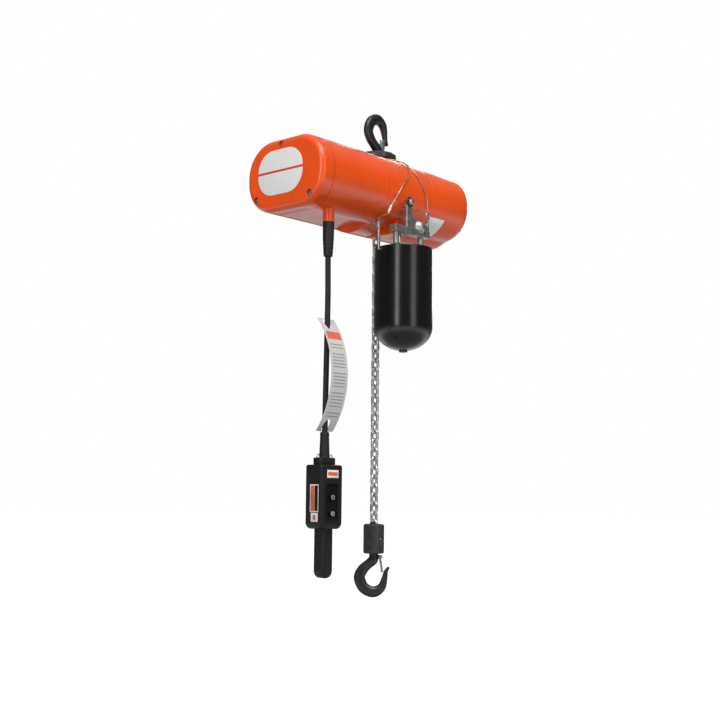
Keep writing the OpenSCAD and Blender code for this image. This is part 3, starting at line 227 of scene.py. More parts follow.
def soften(profile, radius, steps=4):
    """Line with each inner corner cut back by the radius and bridged with a parabola."""
    p = np.asarray(profile, float)
    before, corner, after = p[:-2], p[1:-1], p[2:]
    back, on = before - corner, after - corner
    reach_back = np.linalg.norm(back, axis=1, keepdims=True)
    reach_on = np.linalg.norm(on, axis=1, keepdims=True)
    start = corner + back / reach_back * np.minimum(radius, 0.45 * reach_back)
    end = corner + on / reach_on * np.minimum(radius, 0.45 * reach_on)
    t = np.linspace(0, 1, steps + 1)[None, :, None]
    bend = (1 - t) ** 2 * start[:, None] + 2 * t * (1 - t) * corner[:, None] + t**2 * end[:, None]
    return np.concatenate([p[:1], bend.reshape(-1, p.shape[1]), p[-1:]])


def revolve(profile, centre=(0, 0, 0), axis=(0, 0, 1), sides=64, ring=False):
    """Solid of revolution: (radius, height) points turned round the axis through the centre."""
    p = np.asarray(profile, float)
    w = np.array(axis, float) / np.linalg.norm(axis)
    u = np.cross(w, (0.0, 1.0, 0.0) if abs(w[1]) < 0.9 else (1.0, 0.0, 0.0))
    u /= np.linalg.norm(u)
    v = np.cross(w, u)
    c, s = circle(sides)
    spoke = c[:, None] * u + s[:, None] * v
    rings = np.array(centre, float) + p[:, 0, None, None] * spoke[None] + p[:, 1, None, None] * w
    return skin(rings, caps=not ring, ring=ring)


def rod(radius, low, high):
    """Profile of a cylinder from low to high."""
    return [(0, low), (radius, low), (radius, high), (0, high)]


def disc(radius, low, high, edge):
    """Profile of a short cylinder from low to high with its two edges softened."""
    return soften(rod(radius, low, high), edge)


def torus(centre, axis, radius, thickness, sides=40, around=14):
    """Ring of round section: a circle of points turned round the axis."""
    c, s = circle(around)
    return revolve(np.column_stack([radius + thickness * c, thickness * s]), centre, axis, sides, ring=True)


def rounded_rect(width, height, radius, arc, side):
    """Closed outline: four quarter circles joined by straight runs of evenly spaced points."""
    a = np.linspace(0, np.pi / 2, arc)
    corners = []
    for k, (sx, sy) in enumerate(((1, 1), (-1, 1), (-1, -1), (1, -1))):
        middle = (sx * (width / 2 - radius), sy * (height / 2 - radius))
        bearing = a + k * np.pi / 2
        corners.append(middle + radius * np.column_stack([np.cos(bearing), np.sin(bearing)]))
    s = np.linspace(0, 1, side + 2)[1:-1, None]
    runs = [corners[k][-1] * (1 - s) + corners[(k + 1) % 4][0] * s for k in range(4)]
    return np.concatenate([part for pair in zip(corners, runs) for part in pair])


def drawn(centre, width, height, radius, arc, side, least=0.05):
    """Rounded rectangle round a centre, as a function of the inset that draws it in."""
    return lambda d: centre + rounded_rect(width - 2 * d, height - 2 * d, max(radius - d, least), arc, side)


ORDER = {"x": [2, 0, 1], "y": [0, 2, 1], "z": [0, 1, 2]}


def stacked(outline, stations, along):
    """Rings of an outline(inset), one for each (level, inset) station along an axis."""
    rings = [np.column_stack([o := outline(d), np.full(len(o), w)]) for w, d in stations]
    return np.array(rings)[..., ORDER[along]]


def slab(outline, low, high, edge, along="z"):
    """Plate of an outline(inset) from low to high along an axis, each rim rounded by a quarter circle."""
    turned, risen = quarter(6)
    inset = edge * np.concatenate([turned, turned[::-1]])
    level = np.concatenate([low + edge * risen, high - edge * risen[::-1]])
    return skin(stacked(outline, zip(level, inset), along))


def half_slab(outline, low, high, edge, rounded):
    """Half of a moulding along Y: a quarter-circle rim at the rounded end, a square one at the other."""
    turned, risen = quarter(8)
    rim = list(zip(edge * risen, edge * turned))
    if rounded == "low":
        stations = [(low + w, d) for w, d in rim] + [(high, 0)]
    else:
        stations = [(low, 0)] + [(high - w, d) for w, d in rim[::-1]]
    return skin(stacked(outline, stations, "y"))


def block(low, high, edge, along="z"):
    """Rectangular block between two corners with softened edges."""
    low, high = np.array(low, float), np.array(high, float)
    size, mid = high - low, (high + low) / 2
    u, v, w = {"x": (1, 2, 0), "y": (0, 2, 1), "z": (0, 1, 2)}[along]
    return slab(drawn(mid[[u, v]], size[u], size[v], edge, 5, 2), low[w], high[w], edge, along)


def move(shape, turn=0.0, by=(0, 0, 0)):
    """Shape turned about +Z through the origin, then shifted."""
    c, s = math.cos(turn), math.sin(turn)
    return shape[0] @ np.array([[c, s, 0], [-s, c, 0], [0, 0, 1]]) + np.array(by, float), shape[1]


def at_pendant(shape):
    """Shape in the pendant's own frame, put where the pendant hangs."""
    return move(shape, PENDANT_TURN, (*PENDANT_AT, 0))


# ---- objects ----
def mesh_object(name, shapes):
    """Closed object of one or more shapes: doubles merged, then every face turned outwards."""
    points = np.concatenate([p for p, _ in shapes]) * MM
    starts = np.cumsum([0] + [len(p) for p, _ in shapes[:-1]])
    faces = np.concatenate([f + s for (_, f), s in zip(shapes, starts)])
    mesh = bpy.data.meshes.new(name)
    mesh.from_pydata(points.tolist(), [], faces.tolist())
    made = bmesh.new()
    made.from_mesh(mesh)
    bmesh.ops.remove_doubles(made, verts=made.verts, dist=2e-6)
    bmesh.ops.dissolve_degenerate(made, edges=made.edges, dist=1e-7)
    bmesh.ops.recalc_face_normals(made, faces=made.faces)
    made.to_mesh(mesh)
    made.free()
    piece = bpy.data.objects.new(name, mesh)
    bpy.context.scene.collection.objects.link(piece)
    return piece


def settle(piece):
    """Make a piece's modifiers part of its mesh."""
    graph = bpy.context.evaluated_depsgraph_get()
    mesh = bpy.data.meshes.new_from_object(piece.evaluated_get(graph))
    piece.modifiers.clear()
    old, piece.data = piece.data, mesh
    bpy.data.meshes.remove(old)
    return piece


def discard(piece):
    """Remove a helping object with its mesh."""
    mesh = piece.data
    bpy.data.objects.remove(piece)
    bpy.data.meshes.remove(mesh)


def combine(piece, shapes, operation="DIFFERENCE"):
    """Cut shapes out of a piece, or join them to it, one exact boolean for all."""
    tool = mesh_object("tool", shapes)
    change = piece.modifiers.new("combine", "BOOLEAN")
    change.operation, change.object, change.solver = operation, tool, "EXACT"
    settle(piece)
    discard(tool)


def add(piece, shapes):
    """Add shapes to a piece as parts of their own."""
    extra = mesh_object("extra", shapes)
    made = bmesh.new()
    made.from_mesh(piece.data)
    made.from_mesh(extra.data)
    made.to_mesh(piece.data)
    made.free()
    discard(extra)


def merged_copy(node, name):
    """Copy of a CAD node whose loose triangles are joined at their corners."""
    mesh = NODES[node].data
    points = np.empty(len(mesh.vertices) * 3, np.float32)
    mesh.vertices.foreach_get("co", points)
    corners = np.empty(len(mesh.loops), np.int32)
    mesh.loops.foreach_get("vertex_index", corners)
    return mesh_object(name, [(points.reshape(-1, 3) / MM, corners.reshape(-1, 3))])


def as_cast(piece, voxel, passes):
    """Forged or cast look: remeshed in small cells and smoothed, which fills the inner corners."""
    cells = piece.modifiers.new("cells", "REMESH")
    cells.mode, cells.voxel_size, cells.adaptivity = "VOXEL", voxel * MM, 0.0
    smooth = piece.modifiers.new("smooth", "SMOOTH")
    smooth.factor, smooth.iterations = 0.5, passes
    return settle(piece)


def dress(piece, finish, body, replaced=(), sharp=35.0):
    """Shade, paint and mount a piece: smooth up to the sharp angle, on its body, for its nodes."""
    mesh = piece.data
    mesh.polygons.foreach_set("use_smooth", np.ones(len(mesh.polygons), bool))
    mesh.set_sharp_from_angle(angle=math.radians(sharp))
    mesh.materials.clear()
    mesh.materials.append(bpy.data.materials[finish + "_finish"])
    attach(piece, body)
    if replaced:
        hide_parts(*replaced)
    return piece


def make(name, shapes, finish, body, replaced=(), sharp=35.0):
    """Piece of one or more shapes, dressed."""
    return dress(mesh_object(name, shapes), finish, body, replaced, sharp)


def make_on_pendant(name, shapes, finish, body="pendant", replaced=(), sharp=30.0):
    """Piece whose shapes are given in the pendant's own frame, dressed."""
    return make(name, [at_pendant(shape) for shape in shapes], finish, body, replaced, sharp)


# ---- finishes ----
def new_node(tree, kind, inputs=(), **settings):
    """Node with its settings. Each input takes a value, or a link where a socket is given."""
    made = tree.nodes.new(kind)
    for key, value in settings.items():
        setattr(made, key, value)
    for socket, value in dict(inputs).items():
        if isinstance(value, bpy.types.NodeSocket):
            tree.links.new(value, made.inputs[socket])
        else:
            made.inputs[socket].default_value = value
    return made


class Finish:
    """One material: its shader's constants, and short calls for the nodes that the finishes share."""

    def __init__(self, name, **constants):
        old = bpy.data.materials.get(name + "_finish")
        self.material = old or bpy.data.materials.new(name + "_finish")
        self.material.use_nodes = True
        self.tree = self.material.node_tree
        self.tree.nodes.clear()
        inputs = {socket.replace("_", " "): value for socket, value in constants.items()}
        self.shader = self.node("ShaderNodeBsdfPrincipled", inputs)
        self.node("ShaderNodeOutputMaterial", {0: self.shader.outputs[0]})
        self.place = self.node("ShaderNodeTexCoord").outputs["Object"]

    def node(self, kind, inputs=(), **settings):
        return new_node(self.tree, kind, inputs, **settings)

    def noise(self, scale, detail, stretch=None):
        place = self.place
        if stretch:
            place = self.node("ShaderNodeMapping", {"Vector": place, "Scale": stretch}).outputs[0]
        inputs = {"Vector": place, "Scale": scale, "Detail": detail, "Roughness": 0.55}
        return self.node("ShaderNodeTexNoise", inputs).outputs["Fac"]

    def wave(self, scale, distortion):
        inputs = {"Vector": self.place, "Scale": scale, "Distortion": distortion, "Detail": 1.0}
        return self.node("ShaderNodeTexWave", inputs, bands_direction="X").outputs["Fac"]

    def axis(self, letter):
        return self.node("ShaderNodeSeparateXYZ", {0: self.place}).outputs["XYZ".index(letter)]

    def sum(self, operation, a, b=0.0):
        return self.node("ShaderNodeMath", {0: a, 1: b}, operation=operation).outputs[0]

    def range(self, value, low, high, low_in=0.35, high_in=0.65):
        inputs = {"Value": value, "From Min": low_in, "From Max": high_in, "To Min": low, "To Max": high}
        return self.node("ShaderNodeMapRange", inputs).outputs[0]

    def between(self, value, low, high, soft=0.00015):
        """1 where a value lies between two bounds, with soft edges."""
        rise = self.range(value, 0.0, 1.0, low - soft, low + soft)
        return self.sum("MULTIPLY", rise, self.range(value, 1.0, 0.0, high - soft, high + soft))

    def mix(self, share, a, b):
        a, b = (c if isinstance(c, bpy.types.NodeSocket) else (*c[:3], 1.0) for c in (a, b))
        return self.node("ShaderNodeMix", {0: share, 6: a, 7: b}, data_type="RGBA").outputs[2]

    def mottled(self, scale, detail, a, b):
        """Two colours that a noise drifts between."""
        return self.mix(self.range(self.noise(scale, detail), 0.0, 1.0), a, b)

    def colour(self, value):
        self.tree.links.new(value, self.shader.inputs["Base Color"])

    def rough(self, scale, detail, low, high, stretch=None):
        """Roughness that a noise takes from low to high."""
        value = self.range(self.noise(scale, detail, stretch), low, high)
        self.tree.links.new(value, self.shader.inputs["Roughness"])

    def relief(self, *layers, edge=0.0):
        """Normal from rounded edges, then each (height, depth in metres) bump over it."""
        normal = self.node("ShaderNodeBevel", {"Radius": edge}, samples=6).outputs[0] if edge else None
        for height, depth in layers:
            inputs = {"Height": height, "Distance": depth, "Strength": 1.0}
            if normal:
                inputs["Normal"] = normal
            normal = self.node("ShaderNodeBump", inputs).outputs[0]
        self.tree.links.new(normal, self.shader.inputs["Normal"])


def shade(colour, factor):
    """Colour made lighter or darker by a factor."""
    return tuple(min(1.0, c * factor) for c in colour[:3])


def enamel(colours):
    """Glossy sprayed enamel: slight tone and gloss changes under a thin coat."""
    f = Finish("orange_paint", Coat_Weight=0.4, Coat_Roughness=0.08, Coat_IOR=1.5, Specular_IOR_Level=0.5)
    f.colour(f.mottled(9.0, 3.0, shade(colours.enamel, 0.94), shade(colours.enamel, 1.05)))
    f.rough(38.0, 6.0, 0.26, 0.36)


def metal(name, colour, rough, grain, depth, edge=0.0004, stretch=None, tint=0.85):
    """Bare or plated metal: mottled tone, worn gloss and a fine grain."""
    f = Finish(name, Metallic=1.0)
    f.colour(f.mottled(60.0, 5.0, shade(colour, tint), shade(colour, 1.08)))
    f.rough(140.0, 5.0, rough - 0.07, rough + 0.09, stretch)
    f.relief((f.noise(grain, 3.0, stretch), depth), edge=edge)


def polymer(name, colour, rough, grain, depth, specular=0.5):
    """Moulded plastic or rubber: fine spark-eroded grain and faint handling marks."""
    f = Finish(name, Specular_IOR_Level=specular)
    f.colour(f.mottled(30.0, 4.0, shade(colour, 0.85), shade(colour, 1.2)))
    f.rough(70.0, 5.0, rough - 0.06, rough + 0.08)
    f.relief((f.noise(grain, 2.0), depth), edge=0.0005)


def coated_black(name, colour, rough, coat, depth, scale, mottle=1.5):
    """Black coat over forged or cast iron: soft scale marks under a satin film."""
    f = Finish(name, Coat_Weight=coat, Coat_Roughness=0.16, Specular_IOR_Level=0.5)
    f.colour(f.mottled(45.0, 5.0, shade(colour, 0.8), shade(colour, mottle)))
    f.rough(90.0, 6.0, rough - 0.06 * mottle, rough + 0.06 * mottle)
    if depth:
        f.relief((f.noise(scale, 4.0), depth), edge=0.0006)


def badge_face(colours):
    """White enamelled plate with one plain stripe across it, a little above the middle."""
    f = Finish("badge_white", Coat_Weight=0.6, Coat_Roughness=0.05)
    middle = (spans("badge_plate")[0][2] + spans("badge_plate")[1][2]) / 2 * MM
    stripe = f.between(f.axis("Z"), middle - 0.0005, middle + 0.0043, 0.0003)
    white = f.mottled(14.0, 3.0, shade(colours.badge, 0.97), colours.badge)
    f.colour(f.mix(stripe, white, colours.stripe))
    f.rough(60.0, 4.0, 0.2, 0.3)
    raised = f.sum("ADD", f.noise(400.0, 2.0), f.sum("MULTIPLY", stripe, 2.0))
    f.relief((raised, 0.00003), edge=0.0003)


def tag_film(colours):
    """Laminated film: a plain band near the top and thin ruled lines below it, with a matt margin."""
    f = Finish("tag_film", Coat_Weight=0.3, Coat_Roughness=0.12)
    low, high = (corner * MM for corner in spans("cable_tag"))
    line_pitch, group_pitch = 0.0065, 0.039
    x, z = f.axis("X"), f.axis("Z")

    def share(pitch):
        return f.sum("FRACT", f.sum("DIVIDE", f.sum("SUBTRACT", z, low[2]), pitch))

    inside = f.between(x, low[0] + 0.004, high[0] - 0.004)
    band = f.sum("MULTIPLY", inside, f.between(z, high[2] - 0.044, high[2] - 0.028))
    rule = f.between(share(line_pitch), 0.3, 0.62, 0.05)
    column = f.between(x, low[0] + 0.006, high[0] - 0.006)
    body = f.sum("MULTIPLY", column, f.between(z, low[2] + 0.028, high[2] - 0.05))
    gap = f.sum("GREATER_THAN", share(group_pitch), 0.21)
    lines = f.sum("MULTIPLY", f.sum("MULTIPLY", rule, body), gap)
    paper = f.mottled(25.0, 3.0, shade(colours.tag, 0.95), colours.tag)
    ruled = f.mix(f.sum("MULTIPLY", lines, 0.75), paper, (0.16, 0.16, 0.17))
    f.colour(f.mix(band, ruled, colours.tag_band))
    f.rough(50.0, 4.0, 0.3, 0.42)
    f.relief((f.noise(18.0, 2.0), 0.0004))


def layered(name, scale, distortion, dark, light, rough, depth, **constants):
    """Wires or sheets that lie side by side along X."""
    f = Finish(name, **constants)
    layer = f.wave(scale, distortion)
    f.colour(f.mix(layer, dark, light))
    f.rough(90.0, 3.0, *rough)
    f.relief((layer, depth))


def tone(name, text, default):
    """Colour property with its default in linear light."""
    return FloatVectorProperty(name=name, description=text, subtype="COLOR", default=default, min=0, max=1)


def measure(name, text, default, low, high):
    """Length property, in metres."""
    return FloatProperty(name=name, description=text, subtype="DISTANCE", default=default, min=low, max=high)


class HoistColours(PropertyGroup):
    """Colours of the hoist's finishes."""

    enamel: tone("Enamel", "Sprayed enamel of the body castings", (0.9, 0.088, 0.004))
    badge: tone("Badge", "Ground of the round-ended badge", (0.86, 0.86, 0.85))
    stripe: tone("Stripe", "Stripe across the badge", (0.78, 0.05, 0.03))
    tag: tone("Tag", "Film of the tag on the pendant cable", (0.66, 0.66, 0.64))
    tag_band: tone("Tag band", "Plain band near the top of the tag", (0.8, 0.16, 0.1))
    container: tone("Container", "Gloss coat of the chain container", (0.006, 0.006, 0.0065))
    zinc: tone("Zinc", "Plate on the bracket and hangers", (0.46, 0.48, 0.46))
    wire: tone("Safety wire", "Coated safety wire", (0.66, 0.5, 0.3))


class HoistSizes(PropertyGroup):
    """Sizes of the surfaces that the frame leaves open."""

    recess: measure("Screw recess", "Radius of the recess round each housing screw", 0.0072, 0.0056, 0.008)
    seam: measure("Seam edge", "Rounding of a casting's rim at a seam", 0.0009, 0.0002, 0.002)
    wire_lay: measure("Wire lay", "Length in which the safety wire's strands turn once", 0.016, 0.008, 0.03)
    link_sides: IntProperty(
        name="Link facets", description="Facets round the wire of a chain link", default=14, min=8, max=24
    )
    floor_drop: measure("Floor drop", "Height of the lower hook above the floor", 0.16, 0.02, 1.0)


class HOIST_OT_finishes(Operator):
    """Make every finish and give each CAD node its own"""

    bl_idname = "hoist.finishes"
    bl_label = "Finishes"

    def execute(self, context):
        colours = context.scene.hoist_colours
        enamel(colours)
        badge_face(colours)
        tag_film(colours)
        varnish = {"Coat_Weight": 0.5, "Coat_Roughness": 0.15}
        copper, sheets = ((0.28, 0.08, 0.025), (0.62, 0.25, 0.09)), ((0.16, 0.16, 0.17), (0.34, 0.35, 0.37))
        layered("copper_winding", 260.0, 1.2, *copper, (0.3, 0.42), 0.0003, Metallic=0.8, **varnish)
        layered("laminations", 310.0, 0.2, *sheets, (0.4, 0.55), 0.00015, Metallic=0.9)
        coated_black("black_forging", (0.01, 0.01, 0.01), 0.4, 0.2, 0.0003, 130.0)
        coated_black("block_black", (0.024, 0.024, 0.024), 0.4, 0.3, 0.00012, 120.0)
        coated_black("container_black", colours.container, 0.24, 0.3, 0.0, 40.0, 0.4)
        metal("zinc", colours.zinc, 0.42, 210.0, 0.00018, edge=0.0007, tint=0.72)
        metal("bright_steel", (0.66, 0.66, 0.65), 0.27, 500.0, 0.00003)
        metal("chain_steel", (0.74, 0.74, 0.71), 0.32, 160.0, 0.0001, tint=0.75)
        metal("gear_steel", (0.42, 0.42, 0.43), 0.34, 300.0, 0.00004)
        metal("plate_metal", (0.82, 0.82, 0.8), 0.36, 220.0, 0.00004, stretch=(0.05, 1.0, 1.0), tint=0.94)
        metal("cast_alloy", (0.46, 0.47, 0.48), 0.48, 260.0, 0.0002)
        metal("bronze", (0.6, 0.42, 0.18), 0.3, 300.0, 0.00004)
        metal("wire_brass", colours.wire, 0.38, 600.0, 0.00004, edge=0.0, tint=0.6)
        polymer("gasket_rubber", (0.12, 0.025, 0.012), 0.6, 500.0, 0.00005)
        polymer("black_plastic", (0.009, 0.009, 0.009), 0.42, 900.0, 0.00005, 0.35)
        polymer("button_plastic", (0.006, 0.006, 0.006), 0.3, 900.0, 0.00003)
        polymer("panel_gloss", (0.004, 0.004, 0.004), 0.2, 300.0, 0.00002, 0.4)
        polymer("button_grey", (0.3, 0.3, 0.29), 0.35, 500.0, 0.00003)
        polymer("grey_plastic", (0.2, 0.21, 0.22), 0.45, 700.0, 0.00006)
        polymer("black_rubber", (0.012, 0.012, 0.012), 0.48, 500.0, 0.00008, 0.35)
        polymer("friction_lining", (0.2, 0.13, 0.08), 0.8, 350.0, 0.0003)
        polymer("sleeve_film", (0.66, 0.58, 0.4), 0.35, 400.0, 0.00004)
        polymer("label_white", (0.8, 0.8, 0.78), 0.35, 300.0, 0.00002)
        polymer("label_orange", (0.75, 0.13, 0.04), 0.35, 300.0, 0.00002)
        special = {"stator_core": "laminations", "chain_guide": "orange_paint"}
        special.update({"lower_latch": "bright_steel", "upper_latch": "bright_steel"})
        for name, node in NODES.items():
            for holder in node.material_slots:
                slot = special.get(name, holder.material.name.split(".")[0])
                holder.material = bpy.data.materials[slot + "_finish"]
        return {"FINISHED"}


body_outline = drawn(BODY_C, BODY_W, BODY_H, CORNER_R, 40, 12)
fine_outline = drawn(BODY_C, BODY_W, BODY_H, CORNER_R, 200, 200)


BEARINGS = np.arctan2(*(body_outline(0) - BODY_C).T[::-1])


def bellied_outline(inset):
    """Outline of the body joined with the motor's belly: the farther of the two on each bearing, blended."""
    edge = fine_outline(inset) - BODY_C
    bearing = np.arctan2(edge[:, 1], edge[:, 0])
    order = np.argsort(bearing)
    flat = np.interp(BEARINGS, bearing[order], np.linalg.norm(edge, axis=1)[order], period=2 * np.pi)
    ray = np.stack([np.cos(BEARINGS), np.sin(BEARINGS)], 1)
    offset = BELLY_C - BODY_C
    along = ray @ offset
    across = np.maximum((BELLY_R - inset) ** 2 - offset @ offset + along**2, 0)
    round_part = along + np.sqrt(across)
    blend = 1.2 + 0.3 * inset
    joined = blend * np.logaddexp(flat / blend, round_part / blend)
    apart = np.abs(flat - round_part) > 10 * blend
    return BODY_C + ray * np.where(apart, np.maximum(flat, round_part), joined)[:, None]


def casting(outline, seam_x, end_x, fillet, rim):
    """Hollow end casting: rings of the outline from its closed face round a quarter-circle fillet to the
    seam, and back inside at a wall's depth."""
    way = 1 if seam_x > end_x else -1
    inner = max(fillet - WALL, 1.0)
    a = np.linspace(0, np.pi / 2, 22)
    stations = [(end_x + way * fillet * (1 - math.cos(t)), fillet * (1 - math.sin(t))) for t in a]
    stations += [(seam_x - way * rim * (1 - math.sin(t)), rim * (1 - math.cos(t))) for t in a[::4]]
    stations += [(seam_x, WALL)]
    stations += [
        (end_x + way * (WALL + inner * (1 - math.cos(t))), WALL + inner * (1 - math.sin(t))) for t in a[::-2]
    ]
    rings = list(stacked(outline, stations, "x"))

    def drawn_in(ring, shares):
        half = (BODY_W - BODY_H) / 2
        y = np.clip(ring[:, 1], BODY_C[0] - half, BODY_C[0] + half)
        core = np.column_stack([ring[:, 0], y, np.full(len(ring), BODY_C[1])])
        return [core + s * (ring - core) for s in shares]

    return skin(drawn_in(rings[0], (0, 0.35, 0.7, 0.9)) + rings + drawn_in(rings[-1], (0.7, 0)), caps=False)


def corner_point(side, up, degrees):
    """(Y, Z) of a housing screw, on a bearing from the centre of a body corner."""
    y = BODY_C[0] + side * (BODY_W / 2 - CORNER_R)
    z = BODY_C[1] + up * (BODY_H / 2 - CORNER_R)
    return y + SCREW_IN * math.cos(math.radians(degrees)), z + SCREW_IN * math.sin(math.radians(degrees))


def recess(x_floor, x_open, at, radius):
    """Cylinder along X that opens a screw recess."""
    way = 1 if x_open > x_floor else -1
    return revolve(rod(radius, 0, abs(x_open - x_floor)), (x_floor, *at), (way, 0, 0), 40)


def cup(x_floor, x_lip, at, radius):
    """Boss behind a recess: a wall round it and a floor under the screw's head."""
    way = 1 if x_lip > x_floor else -1
    depth, wall, floor = abs(x_lip - x_floor), radius + 1.4, radius - 0.05
    around = [(wall, -5), (wall, depth), (floor, depth), (floor, 0)]
    profile = [(SCREW_R, -5), *around, (SCREW_R, 0), (SCREW_R, -5)]
    return revolve(profile, (x_floor, *at), (way, 0, 0), 40, ring=True)


class HOIST_OT_end_castings(Operator):
    """Make the end cover and the motor cover with their screw recesses"""

    bl_idname = "hoist.end_castings"
    bl_label = "End castings"

    def execute(self, context):
        sizes = context.scene.hoist_sizes
        radius, rim = sizes.recess / MM, sizes.seam / MM
        ties = [(BODY_C[0] + 10, BODY_TOP - 12.5), corner_point(-1, -1, -125), corner_point(1, -1, -45)]
        corners = ((-1, -1, -135), (1, -1, -45), (-1, 1, 135), (1, 1, 45))
        bolts = [corner_point(*corner) for corner in corners]
        cover = (COVER[1][0], COVER[0][0], COVER_FILLET, rim)
        motor = (MOTOR[0][0], MOTOR[1][0], MOTOR_FILLET, rim)
        # the last two numbers: floor of a recess and lip of its boss, measured from the end face
        for name, node, outline, run, screws, floor, lip in (
            ("cover_casting", "end_cover", body_outline, cover, ties, 10, 3.2),
            ("motor_casting", "motor_cover", bellied_outline, motor, bolts, -24, -15.5),
        ):
            end, mouth = run[1], -math.copysign(4, floor)
            piece = mesh_object(name, [casting(outline, *run)])
            combine(piece, [recess(end + floor, end + mouth, at, radius) for at in screws])
            add(piece, [cup(end + floor, end + lip, at, radius) for at in screws])
            dress(piece, "orange_paint", "hoist", [node])
        return {"FINISHED"}


class HOIST_OT_badge(Operator):
    """Make the round-ended badge on the end cover"""

    bl_idname = "hoist.badge"
    bl_label = "Badge"

    def execute(self, context):
        low, high = spans("badge_plate")
        size, middle = high - low, (low + high) / 2
        outline = drawn(middle[1:], size[1], size[2], 42, 28, 10)
        plate = slab(outline, low[0], high[0], 0.5, "x")
        make("badge_face", [plate], "badge_white", "hoist", ["badge_plate"])
        return {"FINISHED"}


def link_rings(sides):
    """One link about the origin, long in Z: round wire on two half circles and two runs, with a weld."""
    half = np.linspace(0, np.pi, 13)
    run = np.linspace(-1, 1, 7)[1:-1] * LINK_ARC
    top = np.column_stack([LINK_END * np.cos(half), LINK_ARC + LINK_END * np.sin(half)])
    left = np.column_stack([np.full(5, -LINK_END), -run])
    right = np.column_stack([np.full(5, LINK_END), run])
    path = np.concatenate([top, left, -top, right])
    path = np.column_stack([path[:, 0], np.zeros(len(path)), path[:, 1]])
    out = np.cross(unit(np.roll(path, -1, 0) - np.roll(path, 1, 0)), Y)
    weld = 1 + 0.05 * np.exp(-((path[:, 2] / 2.2) ** 2)) * (path[:, 0] < 0)
    c, s = circle(sides)
    radius = WIRE / 2 * weld[:, None]
    return sweep(path, out, np.array([Y]), radius * c, radius * s)


def links(places, sides):
    """Chain: one link repeated at each place, a 3 by 3 turn and a centre."""
    rings = link_rings(sides)
    face = quads(rings.shape[0], rings.shape[1], ring=True)
    turns = np.array([turn for turn, _ in places])
    centres = np.array([centre for _, centre in places])
    points = np.einsum("nij,pj->npi", turns, rings.reshape(-1, 3)) + centres[:, None]
    count = rings.shape[0] * rings.shape[1]
    faces = face[None] + count * np.arange(len(places))[:, None, None]
    return points.reshape(-1, 3), faces.reshape(-1, 4)


def spin(axis, angle):
    """3 by 3 turn about X, Y or Z."""
    return np.array(Matrix.Rotation(angle, 3, axis))


def straight(y, i):
    """Place of the link i pitches below the wheel's axis, each turned a quarter against the last."""
    return spin("Z", i % 2 * math.pi / 2), (0, y, WHEEL_Z - i * PITCH)


class HOIST_OT_chain(Operator):
    """Make the load chain, the links on the lift wheel and the slack chain that piles in the container"""

    bl_idname = "hoist.chain"
    bl_label = "Chain"

    def execute(self, context):
        sides = context.scene.hoist_sizes.link_sides

        def chain(name, places, body, replaced=()):
            return make(name, [links(places, sides)], "chain_steel", body, replaced, 60)

        hanging = [straight(0, i) for i in range(TOP_LINKS, HANGING)]
        load = chain("load_links", hanging, "hoist", ["load_chain"])
        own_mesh(load)
        chain("top_links", [straight(0, i) for i in range(TOP_LINKS)], "hoist")
        chain("end_link", [straight(0, HANGING)], "hook_block")
        on_wheel = []
        for k in range(1, POCKETS + 1):
            turn = spin("X", k * math.pi / POCKETS)
            out = turn @ np.array([0, FLAT_R if k % 2 == 0 else UPRIGHT_R, 0])
            on_wheel.append((turn @ spin("Z", k % 2 * math.pi / 2), out + (0, -FLAT_R, WHEEL_Z)))
        chain("wheel_links", on_wheel, "lift_wheel", ["wheel_chain"])
        places = [straight(-FLAT_R - UPRIGHT_R, i) for i in SLACK_RUN]
        foot = spans("slack_chain")[0][2]
        for layer, (radius, count, height) in enumerate(HEAP):
            for j in range(count):
                a = 2 * math.pi * (j + 0.37 * layer) / count
                turn = spin("Z", a) @ spin("X", HEAP_TILT if j % 2 else -HEAP_TILT) @ spin("X", math.pi / 2)
                x, y = CONTAINER_AT[0] + radius * math.cos(a), CONTAINER_AT[1] + radius * math.sin(a)
                places.append((turn, (x, y, foot + height)))
        chain("slack_links", places, "hoist", ["slack_chain"])
        return {"FINISHED"}


BOWL = 17.5
SADDLE_T = 23.6
SHANK_R = 9.5
HOOK_TURN = math.radians(-48)
# (x, z, thickness, width) of the forging from its shank round to its tip
HOOK_STATIONS = [
    (0, BOWL + 46, 14, 14),
    (-0.5, BOWL + 37.5, 20.5, 19.5),
    (-BOWL + 7, BOWL + 28.5, 20, 17),
    (-BOWL - 5, BOWL + 17, 22.5, 16),
    (-BOWL - 12, BOWL, 24, 16),
    (-BOWL - 3, BOWL - 20.5, 24, 17),
    (0, -SADDLE_T / 2, SADDLE_T, 18),
    (BOWL - 0.5, BOWL - 20, 18.5, 16),
    (BOWL + 6.2, BOWL, 12.4, 13),
    (BOWL + 8.8, BOWL + 13, 9, 11),
    (BOWL + 15, BOWL + 22.5, 5.5, 8),
]
LATCH_AT = (15.0, BOWL + 43.5)


def forged_hook(name, shank_top, place):
    """Hook in its own frame, saddle at the origin and tip towards +X: a rounded section carried through the
    stations, with its shank and latch lug."""
    line = catmull(HOOK_STATIONS, 10)
    path = np.column_stack([line[:, 0], np.zeros(len(line)), line[:, 1]])
    out = np.cross(Y, unit(np.gradient(path, axis=0)))
    c, s = (np.sign(v) * np.abs(v) ** 0.85 for v in circle(48))
    rings = sweep(path, out, np.array([Y]), line[:, 2, None] / 2 * c, line[:, 3, None] / 2 * s)
    x, z = LATCH_AT
    half, lug = 1.6, 4.2
    shank = revolve(rod(SHANK_R, BOWL + 36, shank_top), sides=48)
    boss = revolve(disc(lug, -half, half, 0.4), (x, 0, z), Y, 32)
    web = block((6.5, -half, z - lug), (x, half, z + lug), 0.4, "y")
    piece = mesh_object(name, [place(shape) for shape in (skin(rings), shank, boss, web)])
    return as_cast(piece, 0.85, 5)


def upside_down(shape):
    """Turn of the upper hook: half a turn about X."""
    return shape[0] * np.array([1, -1, -1]), shape[1]


